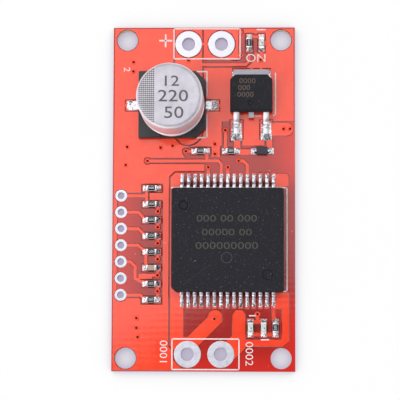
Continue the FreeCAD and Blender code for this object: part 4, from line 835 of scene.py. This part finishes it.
inked = add(tree, "Math", {"operation": "MULTIPLY"}, n0=(inked, 0), n1=(dots, 0))
bare = add(tree, "MapRange", {"To Min": SKIN, "To Max": 0.0}, Value=(inked, 0))
# Painted light: below the top's edge the wall is given a paler colour than the top, as lit and shaded copies
# of one metal.
stamped = add(tree, "MapRange", {"interpolation_type": "SMOOTHSTEP", "From Min": -0.34 * MM,
                                 "From Max": -0.08 * MM}, Value=(axes, "Z"))
drawn = add(tree, "Mix", {"data_type": "RGBA", 6: linear("#EAE6EB")}, n0=(stamped, 0),
            n7=(parts["colour"], 2))
tone = add(tree, "Mix", {"data_type": "RGBA", 7: linear("#4B4840")}, n0=(inked, 0), n6=(drawn, 2))
tree.links.new(tone.outputs[2], parts["shader"].inputs["Base Color"])
tree.links.new(bare.outputs[0], parts["shader"].inputs["Metallic"])
piece("drawn_can", [turned(can_profile, can_x, can_y, 128)], aluminium,
      ["capacitor_can"], 50.0)

# %% The base and its terminals
# Glass fibres rise to a moulded face as a slight tooth on black, IOR 1.53. They are 0.01 mm thick, so they
# are drawn coarser, at 0.12 mm.
polyamide, _ = finish("glass_filled_black_polyamide", ("#16161A", "#212126"), patch=0.8, grain=0.12,
                      relief=0.008, rough=(0.38, 0.5), settings={"IOR": 1.53})
rounded_copy("moulded_capacitor_base", "capacitor_base", 0.1, polyamide, segments=3)
for side in ("positive", "negative"):
    rounded_copy(f"capacitor_strap_{side}", f"capacitor_terminal_{side}", 0.04, leadframe)

low, high = reach("capacitor_solder")
base_low, base_high = reach("capacitor_base")
drops = []
for sign, end, inner in ((1, high[0], base_high[0]), (-1, low[0], base_low[0])):
    half = abs(end - inner) / 2 + 0.15

    def rise(u, v, sign=sign):
        outward = sign * u
        away = np.clip((outward - 0.1) / 0.9, 0, 1)
        return film + 0.02 * np.sin(3 * u + 4 * v) + 0.26 * (1 - away) ** 2 * (1 - 0.35 * v ** 2)
    drops.append(mound(half, (high[1] - low[1]) / 2, rise, FACE, (end + inner) / 2 - sign * 0.15,
                       (low[1] + high[1]) / 2, columns=17))
    openings.append(prism(oblong(half + MARGIN, (high[1] - low[1]) / 2 + MARGIN, 0.1, 3), SLIP,
                          (end + inner) / 2 - sign * 0.15, (low[1] + high[1]) / 2))
piece("capacitor_solder_joints", drops, solder, ["capacitor_solder"])

# %% [markdown]
# ## The protection transistor
#
# The same moulding compound, on a thick copper tab that carries the die. Its two outer leads step down
# like the driver's, only thicker, and the middle one is cropped short.

# %% Transistor
t_low, t_high = reach("transistor_body")
half_x, half_y = (t_high[0] - t_low[0]) / 2, (t_high[1] - t_low[1]) / 2
leg_top = reach("transistor_lead_gate")[1][2]
shape = moulded([(half_x, -half_y), (half_x, half_y - CUT), (half_x - CUT, half_y), (CUT - half_x, half_y),
                 (-half_x, half_y - CUT), (-half_x, -half_y)], [0.25, 0.2, 0.2, 0.2, 0.2, 0.25],
                "transistor_body", (leg_top - 0.5, leg_top))
tx, ty, _ = middle("transistor_body")
only_pin = (tx - 0.1, ty - 1.6)
piece("transistor_moulding", [shape, witness(*only_pin, 0.5, t_high[2] - 0.004)], compound,
      ["transistor_body"], 50.0)
piece("transistor_pin_dimple_painted_shade", [dimple_wall(*only_pin, 0.46, t_high[2])], dimple_painted_shade)
# Plated tin on rolled strip, a metal: paler than the fine leads, with marks drawn out along the leg.
pale_leg, _ = finish("matt_tinned_leg", ("#BDBBBF", "#F2F1F4"), patch=0.35, grain=0.25, relief=0.012,
                     rough=(0.34, 0.48), settings={"Metallic": 1.0}, stretch=(1.0, 0.3, 1.0))
# The tab was sheared and plated: a greyer metal, its marks drawn out across it.
sheared_tab, _ = finish("sheared_tinned_tab", ("#86848C", "#9F9DA5"), patch=0.8, grain=0.3, relief=0.006,
                        rough=(0.34, 0.46), settings={"Metallic": 1.0}, stretch=(0.3, 1.0, 1.0))
rounded_copy("transistor_tab_plate", "transistor_tab", 0.05, sheared_tab)
for name in ("gate", "source"):
    low, high = reach(f"transistor_lead_{name}")
    gauge = 0.5
    shoulder, foot = high[2] - gauge / 2, SEAT + gauge / 2
    start, end = ty - high[1] - 0.1, ty - low[1]
    path = eased([(start, shoulder), (end - 1.72, shoulder), (end - 1.28, foot), (end, foot)],
                 0.55, steps=9, closed=False)
    leg = moved(strip(path, high[0] - low[0] + 0.08, gauge, 0.1), turn=180)
    piece(f"formed_leg_{name}", [moved(leg, (low[0] + high[0]) / 2, ty)], pale_leg,
          [f"transistor_lead_{name}"])

low, high = reach("transistor_solder")
drops = []
for name in ("gate", "source"):
    leg_low, leg_high = reach(f"transistor_lead_{name}")
    x = (leg_low[0] + leg_high[0]) / 2
    y0, y1 = low[1] - 0.4, low[1] + 2.8
    openings.append(prism(oblong(1.06, (y1 - y0) / 2 + MARGIN, 0.1, 3), SLIP, x, (y0 + y1) / 2))
    half_wide = (leg_high[0] - leg_low[0]) / 2

    def rise(u, v, half_wide=half_wide):
        side = np.clip((np.abs(u) * 0.9 - half_wide) / (0.9 - half_wide), 0, 1)
        end = np.clip((-0.3 - v) / 0.5, 0, 1)
        run = 0.07 * np.clip((-0.2 - v) / 0.3, 0, 1)
        return film + run + 0.02 * np.sin(4 * u + 3 * v) + 0.28 * (1 - np.maximum(side, end)) ** 2
    drops.append(mound(0.9, (y1 - y0) / 2, rise, FACE, x, (y0 + y1) / 2, columns=17))


def tab_rise(u, v):
    """Highest along the tab's edges, thin at the land's own edge."""
    side = np.clip((np.abs(u) - 0.82) / 0.18, 0, 1)
    return film + 0.03 * np.sin(9 * u) + 0.3 * (1 - side) ** 2 * np.clip(1.1 - np.clip(v, 0, 1) ** 4, 0, 1)


drops.append(mound((high[0] - low[0]) / 2, 1.6, tab_rise, FACE, (low[0] + high[0]) / 2, high[1] - 1.45,
                   columns=33))
piece("transistor_solder_joints", drops, solder, ["transistor_solder"])

# %% [markdown]
# ## Chip resistors and the ceramic capacitor
#
# A chip resistor is a slip of white alumina with a printed film, under a dark glass overcoat with
# digits on it. Both ends are capped with nickel and tin. Solder climbs the caps in a bright hollow
# slope, which is most of what one sees of it.

# %% Chips
# Fired alumina, IOR 1.76: dense, white and matt. Its grains are a few microns across, so they are drawn
# coarser, at 0.06 mm.
alumina, _ = finish("fired_white_alumina", ("#DAD8D4", "#ECEBE8"), patch=0.3, grain=0.06, relief=0.003,
                    rough=(0.45, 0.6), settings={"IOR": 1.76})
# Screened and fired glass, IOR 1.5: near black. Its gloss is held down, as the chip is smaller than the
# highlight would be.
overcoat, _ = finish("dark_glass_overcoat", ("#07070A", "#101015"), patch=0.35, grain=0.1, relief=0.004,
                     rough=(0.45, 0.55), settings={"IOR": 1.5, "Specular IOR Level": 0.12})
# Tin over nickel, a metal: bright and finely pitted.
cap_metal, _ = finish("nickel_barrier_end_cap", ("#D4D4DA", "#EDEDF1"), patch=0.25, grain=0.1, relief=0.006,
                      rough=(0.26, 0.38), settings={"Metallic": 1.0})
# Fired titanate, a ceramic whose index is high, 2 or more: tan and dull.
titanate, _ = finish("fired_titanate_ceramic", ("#9C7F66", "#B3947A"), patch=0.4, grain=0.08, relief=0.004,
                     rough=(0.4, 0.55), settings={"IOR": 2.0})


def chip_places(names):
    """Middle, and the turn that lays a chip's long side along X, for each named solid."""
    places = []
    for name in names:
        low, high = reach(name)
        upright = high[1] - low[1] > high[0] - low[0]
        places.append(((low[0] + high[0]) / 2, (low[1] + high[1]) / 2, 90 if upright else 0))
    return places


def edge_profile(low, high, soft):
    """Up a wall with both of its edges eased by the same small radius."""
    return [(soft, low), (0.3 * soft, low + 0.3 * soft), (0.0, low + soft), (0.0, high - soft),
            (0.3 * soft, high - 0.3 * soft), (soft, high)]


RESISTORS = [f"resistor_{i}" for i in range(1, 12)]
chips = chip_places(RESISTORS)
ceramic = chip_places(["ceramic_capacitor"])
CHIP_HALF, WRAP, CAP_TOP = 0.8, 0.3, reach("resistor_terminals")[1][2]


def on_chip(shape, chip):
    """A shape drawn for a chip at the origin, put on the chip's place."""
    x, y, turn = chip
    return moved(moved(shape, turn=turn), x, y)


cap = prism(oblong(WRAP / 2, 0.4, 0.05, 3), edge_profile(SEAT, CAP_TOP, 0.05))
pair = [moved(cap, x=sign * (CHIP_HALF - WRAP / 2)) for sign in (-1, 1)]
piece("resistor_end_caps", [on_chip(c, chip) for chip in chips for c in pair], cap_metal,
      ["resistor_terminals"])
piece("ceramic_end_caps", [on_chip(c, chip) for chip in ceramic for c in pair], cap_metal,
      ["ceramic_capacitor_terminals"])
coat_low, coat_high = reach("resistor_overcoats")
glaze = prism(oblong(CHIP_HALF - WRAP + 0.03, 0.37, 0.05, 3),
              [(0.0, coat_low[2] - 0.02), (0.0, coat_low[2] + 0.006), (0.03, coat_high[2] - 0.008),
               (0.1, coat_high[2])])
piece("resistor_glazes", [on_chip(glaze, chip) for chip in chips], overcoat,
      ["resistor_overcoats"])
for name in RESISTORS:
    dress(name, alumina)
dress("ceramic_capacitor", titanate)

# %% [markdown]
# ## Light-emitting diodes and the small diode
#
# Each indicator is a slip of pale laminate with metal ends and a block of clear silicone cast on it. The
# block is a prism with a soft top edge; a little of the light passes into it, so it is given some
# transmission under a pale tint.

# %% Indicators
# Resin-bonded glass cloth without mask, IOR 1.5: pale and half matt.
led_laminate, _ = finish("pale_indicator_laminate", ("#E4E6E0", "#F2F4EE"), patch=0.3, grain=0.08,
                         relief=0.003, rough=(0.4, 0.5), settings={"IOR": 1.5})
# Cast silicone, IOR 1.45: a soft gloss, and a milky body that lets a little light in.
silicone, _ = finish("cast_clear_silicone", ("#E9EEE4", "#FAFBF4"), patch=0.25, grain=0.15, relief=0.004,
                     rough=(0.12, 0.2), settings={"IOR": 1.45, "Transmission Weight": 0.25})
LEDS = ("led_power", "led_forward", "led_reverse")
for name in LEDS:
    dress(f"{name}_base", led_laminate)
    low, high = reach(f"{name}_lens")
    half = (high - low) / 2
    lens = prism(oblong(half[0] - 0.02, half[1], 0.08, 4),
                 [(0.0, low[2]), (0.0, high[2] - 0.14), (0.03, high[2] - 0.05), (0.1, high[2])])
    x, y, _ = middle(f"{name}_lens")
    piece(f"{name}_silicone", [moved(lens, x, y)], silicone, [f"{name}_lens"])
# A screened dot of green ink tells the polarity: flat and bluish on the pale block.
green_ink, _ = finish("screened_green_mark", ("#2E8C72", "#57A98F"), patch=0.2, grain=0.08, relief=0.003,
                      rough=(0.35, 0.5), settings={"IOR": 1.5})
marks = []
for name in LEDS:
    low, high = reach(f"{name}_lens")
    x, y, _ = middle(f"{name}_lens")
    film_of_ink = [(0.0, high[2] - 0.02), (0.0, high[2] + 0.004), (0.02, high[2] + 0.008)]
    marks.append(prism(oblong(0.11, 0.13, 0.06, 3), film_of_ink, x + 0.12, y - 0.08))
piece("indicator_marks", marks, green_ink)
rounded_copy("indicator_end_caps", "led_terminals", 0.03, cap_metal)
# The diode's compound is filled like the driver's, but greyer.
small_moulding, _ = finish("greyed_moulding_compound", ("#22222B", "#31313C"), patch=0.4, grain=0.15,
                           relief=0.01, rough=(0.5, 0.62), settings={"IOR": 1.5})
rounded_copy("diode_moulding", "diode_body", 0.06, small_moulding)
rounded_copy("diode_leads_formed", "diode_leads", 0.03, leadframe)


# %% Solder on every chip, indicator and diode
LAND_INNER, LAND_OUTER = 0.5, 1.45
half_x, half_y = (LAND_OUTER - LAND_INNER) / 2, 0.5
mid = (LAND_OUTER + LAND_INNER) / 2
wall = (CHIP_HALF - mid) / half_x


def chip_rise(waves):
    """A hollow slope from the end cap down to the land's outer edge, lower towards its sides."""
    def rise(u, v):
        away = np.clip((u - wall) / (1 - wall), 0, 1)
        side = np.clip((np.abs(v) - 0.78) / 0.22, 0, 1)
        return film + 0.34 * (1 - away) ** 2 * (1 - side) ** 2 + 0.012 * np.sin(waves[0] + 4 * u + 3 * v)
    return rise


places = chips + ceramic + chip_places([f"{name}_base" for name in LEDS])
OPEN_LONG, OPEN_WIDE = 1.6, 0.66
openings += [on_chip(prism(oblong(OPEN_LONG, OPEN_WIDE, 0.1, 3), SLIP), chip) for chip in places]
piece("mask_openings", openings, opening_painted_shade)
drops = []
for chip in places:
    for turn in (0, 180):
        drop = mound(half_x, half_y, chip_rise(rng.uniform(0, 6.3, 2)), FACE, mid, 0.0, columns=15, rows=13)
        drops.append(on_chip(moved(drop, turn=turn), chip))
low, high = reach("diode_leads")
x, y, _ = middle("diode_leads")
for sign in (-1, 1):
    drops.append(mound(0.5, 0.56, lambda u, v: film + 0.2 * (1 - np.abs(u)) * (1 - v ** 2), FACE,
                       x + sign * ((high[0] - low[0]) / 2 - 0.12), y, columns=15))
piece("chip_solder_joints", drops, solder, ["chip_solder"])

# %% [markdown]
# ## Vias
#
# A via is a tiny plated hole that takes a track from one face to the other. Under the mask it shows as a
# raised ring with a dimple where the mask sank into the hole; the dimple's dark is painted shade.

# %% Vias
# No solid is a via alone, so their places are typed, in millimetres. The last six stand in a column.
PLACES = [(-10.9, 21.1), (-10.9, 19.65), (-2.4, 21.4), (5.55, 25.75), (5.65, 22.15), (8.75, 21.4),
          (-11.8, 7.9), (-12.0, 5.1), (-6.65, 7.8), (-4.8, 8.1), (-2.75, 7.25), (-8.65, 5.75), (1.7, 8.35),
          (1.7, 6.8), (3.3, 10.5), (0.7, 4.75), (3.7, 4.75), (5.35, 5.75), (12.25, 10.7), (13.25, 10.7),
          (-10.2, -18.4), (-10.2, -19.9), (-10.0, -21.3), (1.7, -18.5), (8.25, -17.75)]
COLUMN_X, COLUMN_TOP, COLUMN_STEP, COLUMN_COUNT = -7.0, -2.05, 2.45, 6
PLACES += [(COLUMN_X, COLUMN_TOP - COLUMN_STEP * i) for i in range(COLUMN_COUNT)]
VIA_RIM, VIA_BORE = 0.4, 0.21
crest = FOIL + 0.045
via = [(VIA_RIM + 0.03, FACE - 0.01), (VIA_RIM + 0.02, FOIL), (VIA_RIM - 0.05, crest),
       (VIA_BORE + 0.06, crest), (VIA_BORE, crest - 0.012), (VIA_BORE - 0.03, FOIL + 0.002)]
piece("tented_vias", [turned(via, x, y, 24) for x, y in PLACES], mask_on_copper)
# Painted shade: mask at the bottom of a hole made dark red, with hardly any gloss, because little light gets
# in.
via_painted_shade, _ = finish("mask_in_a_hole_painted_shade", ("#120302", "#2A0805"), patch=0.2, grain=0.1, relief=0.003,
                rough=(0.5, 0.7), settings={"IOR": 1.5, "Specular IOR Level": 0.15})
dimple = [(VIA_BORE, FOIL - 0.01), (VIA_BORE, FOIL + 0.004), (0.02, FOIL + 0.003)]
piece("via_dimple_painted_shade", [turned(dimple, x, y, 16) for x, y in PLACES], via_painted_shade)

# %% [markdown]
# ## White ink
#
# The legend is epoxy ink pushed through a fine screen, a fiftieth of a millimetre thick, with slightly
# swollen ends. A line is a rounded bar. It stands on the laminate and reaches just over the film on the
# foil, so it needs no step where it crosses a track. Letters come from Blender's own typeface, made a
# mesh before they are put in place.

# %% Ink, lines and letters
# Screened epoxy, IOR 1.5: an even white that the red beneath warms, and a matt face.
ink, _ = finish("screened_epoxy_ink", ("#F3D3D0", "#FFE9E6"), patch=0.5, grain=0.12, relief=0.006,
                rough=(0.4, 0.55), settings={"IOR": 1.5})
INK_TOP = SEAT + 0.012


def line(x0, y0, x1, y1, wide=0.2, low=FACE, high=INK_TOP):
    """A stroke with round ends between two points."""
    length = math.hypot(x1 - x0, y1 - y0)
    turn = math.degrees(math.atan2(y1 - y0, x1 - x0))
    bar = prism(oblong(length / 2 + wide / 2, wide / 2, wide / 2, 5),
                [(0.0, low), (0.0, high - 0.01), (0.02, high)])
    return moved(moved(bar, turn=turn), (x0 + x1) / 2, (y0 + y1) / 2)


def frame_lines(x0, y0, x1, y1):
    """Four strokes round a rectangle."""
    return [line(x0, y0, x1, y0), line(x1, y0, x1, y1), line(x1, y1, x0, y1), line(x0, y1, x0, y0)]


TYPE_SIZE = 1.39  # the typeface's size over the height of its capitals
LETTER_DEPTH = 0.012


def words(name, rows, finish_, level, bolder=0.0, wider=1.0):
    """Letters as thin solid meshes. Each row is (text, height, x, y, turn), placed by its middle."""
    made = []
    for text, height, x, y, turn in rows:
        curve = bpy.data.curves.new(name, "FONT")
        curve.body, curve.size = text, 1.0
        curve.align_x, curve.align_y = "CENTER", "CENTER"
        curve.resolution_u = 3
        curve.offset = bolder
        curve.extrude = LETTER_DEPTH / 2 / (height * TYPE_SIZE)
        holder = bpy.data.objects.new(name, curve)
        bpy.context.scene.collection.objects.link(holder)
        mesh = bpy.data.meshes.new_from_object(holder)
        bpy.data.objects.remove(holder)
        size = height * TYPE_SIZE * MM
        scaled = Matrix.Diagonal((size * wider, size, size, 1.0))
        spun = Matrix.Rotation(math.radians(turn), 4, "Z") @ scaled
        mesh.transform(Matrix.Translation(Vector((x, y, level - LETTER_DEPTH / 2)) * MM) @ spun)
        made.append(mesh)
    joined = bmesh.new()
    for mesh in made:
        joined.from_mesh(mesh)
    bmesh.ops.remove_doubles(joined, verts=joined.verts, dist=0.0005 * MM)
    whole = bpy.data.meshes.new(name)
    joined.to_mesh(whole)
    joined.free()
    return put(name, whole, finish_)


# Most lines and words follow no solid, so they are typed too. The words are plain ones: numbers, and ON.
strokes = frame_lines(-4.65, 21.6, 5.55, 26.3) + frame_lines(-4.75, -26.2, 5.45, -21.55)
edge_x, edge_y = driver_high[0] + 0.45, driver_low[1] + 0.2
strokes += [line(driver_low[0], driver_high[1] + 0.1, edge_x, driver_high[1] + 0.1),
            line(edge_x, driver_high[1] + 0.1, edge_x, edge_y), line(edge_x, edge_y, edge_x - 1.5, edge_y)]
strokes += [line(-6.85, 24.45, -5.05, 24.45, 0.26), line(-5.95, 23.55, -5.95, 25.35, 0.26),
            line(8.2, 26.15, 9.4, 26.15), line(7.05, -18.0, 7.95, -18.0), line(8.85, -21.65, 9.95, -21.65),
            line(7.85, 12.7, 8.6, 12.7, 0.24), line(0.45, 9.35, 0.45, 12.9), line(0.45, 15.8, 0.45, 19.5),
            line(-1.4, 19.6, 0.45, 19.6), line(-1.3, 9.35, 0.45, 9.35),
            line(11.0, 12.8, 11.0, 19.3), line(10.7, 12.8, 11.0, 12.8)]
piece("legend_lines", strokes, ink)
words("legend_letters", [("ON", 1.3, 8.0, 21.65, 0), ("0001", 1.2, -6.1, -23.6, -90),
                         ("0002", 1.2, 6.95, -23.8, -90), ("2", 1.0, -11.95, 19.95, -90)],
      ink, INK_TOP, bolder=-0.003, wider=1.12)

# %% [markdown]
# ## Marks on the parts
#
# Packages are marked last: the can with a rubber stamp, the mouldings with a laser, the resistors with a
# fired ink. Only digits are drawn, as thin meshes that stand a few hundredths of a millimetre proud at
# most. No two faces lie in one plane, so nothing flickers.

# %% Digits, a ring and scratches
# Ink on the lacquer: dark grey and matt.
can_ink, _ = finish("stamped_can_ink", ("#4C4A4C", "#636165"), patch=0.4, grain=0.15, relief=0.003,
                    rough=(0.45, 0.6))
words("can_digits", [("12", 1.6, can_x + 0.15, can_y + 2.1, 0), ("220", 1.8, can_x + 0.55, can_y - 0.15, 0),
                     ("50", 1.8, can_x + 0.65, can_y - 2.65, 0)], can_ink, can_top,
      bolder=0.003, wider=1.24)
# A laser lightens the compound to a warm grey. Handling leaves fine scratches in the same tone.
laser, _ = finish("laser_lightened_compound", ("#3B3934", "#4D4940"), patch=0.2, grain=0.1, relief=0.004,
                  rough=(0.55, 0.7))
words("package_digits", [("000 00 000", 1.05, driver_x - 0.1, driver_y + 3.25, 180),
                         ("00 00000", 1.05, driver_x - 0.1, driver_y + 1.15, 180),
                         ("000000000", 1.1, driver_x - 0.1, driver_y - 0.9, 180)],
      laser, driver_high[2] + 0.006, wider=1.4)
top = driver_high[2]
plain_ring = [(0.85, top - 0.01), (0.85, top + 0.005), (0.76, top + 0.005), (0.76, top - 0.01)]
piece("driver_marks", [turned(plain_ring, driver_x - 0.1, driver_y - 2.8, 40, closed=True),
                       line(-2.9, -13.4, 0.5, -10.7, 0.05, top - 0.01, top + 0.004),
                       line(6.6, -1.9, 8.9, 0.3, 0.04, top - 0.01, top + 0.004),
                       line(-3.4, -6.2, -2.3, -7.6, 0.04, top - 0.01, top + 0.004)],
      laser)
# A stronger burn turns it brown.
scorched, _ = finish("laser_scorched_compound", ("#54453A", "#6F5C4E"), patch=0.2, grain=0.1, relief=0.004,
                     rough=(0.55, 0.7))
words("transistor_digits", [("0000", 0.8, tx - 0.6, ty + 1.75, 0), ("000", 0.8, tx - 1.1, ty + 0.7, 0),
                            ("0000", 0.8, tx - 0.9, ty - 0.35, 0)],
      scorched, t_high[2] + 0.006, wider=1.15)
# White ink fired on the glass: matt, so the digits read against the black.
value_ink, _ = finish("screened_value_ink", ("#E6E6EA", "#F6F6F8"), patch=0.2, grain=0.08, relief=0.002,
                      rough=(0.5, 0.6))
rows = [("000", 0.38, x, y, turn) for x, y, turn in chips]
words("resistor_digits", rows, value_ink, coat_high[2] + 0.006, bolder=-0.006)

# %% [markdown]
# ## What is hidden
#
# A few solids lie inside others: dies, slugs, the plug and the winding. They never show, but they get
# finishes as well, so the model still looks right if someone takes it apart.

# %% Hidden pieces
# Polished silicon: a blue-grey half mirror.
silicon, _ = finish("polished_silicon", ("#4E5560", "#6A7280"), patch=0.5, grain=0.2, relief=0.001,
                    rough=(0.08, 0.15), settings={"Metallic": 0.6})
# Butyl rubber, IOR 1.52: black and dull.
rubber, _ = finish("moulded_butyl_rubber", ("#1C1C1C", "#282826"), patch=0.6, grain=0.15, relief=0.006,
                   rough=(0.6, 0.8), settings={"IOR": 1.52})
# Etched aluminium foil, a metal: its pits scatter light, so it is matt and grey.
foil_roll, _ = finish("wound_etched_foil", ("#A9A6A0", "#C6C3BC"), patch=1.0, grain=0.3, relief=0.01,
                      rough=(0.4, 0.6), settings={"Metallic": 1.0})
for node, look in (("driver_dies", silicon), ("transistor_die", silicon), ("capacitor_seal", rubber),
                   ("capacitor_winding", foil_roll), ("driver_slug_left", leadframe),
                   ("driver_slug_centre", leadframe), ("driver_slug_right", leadframe)):
    dress(node, look)
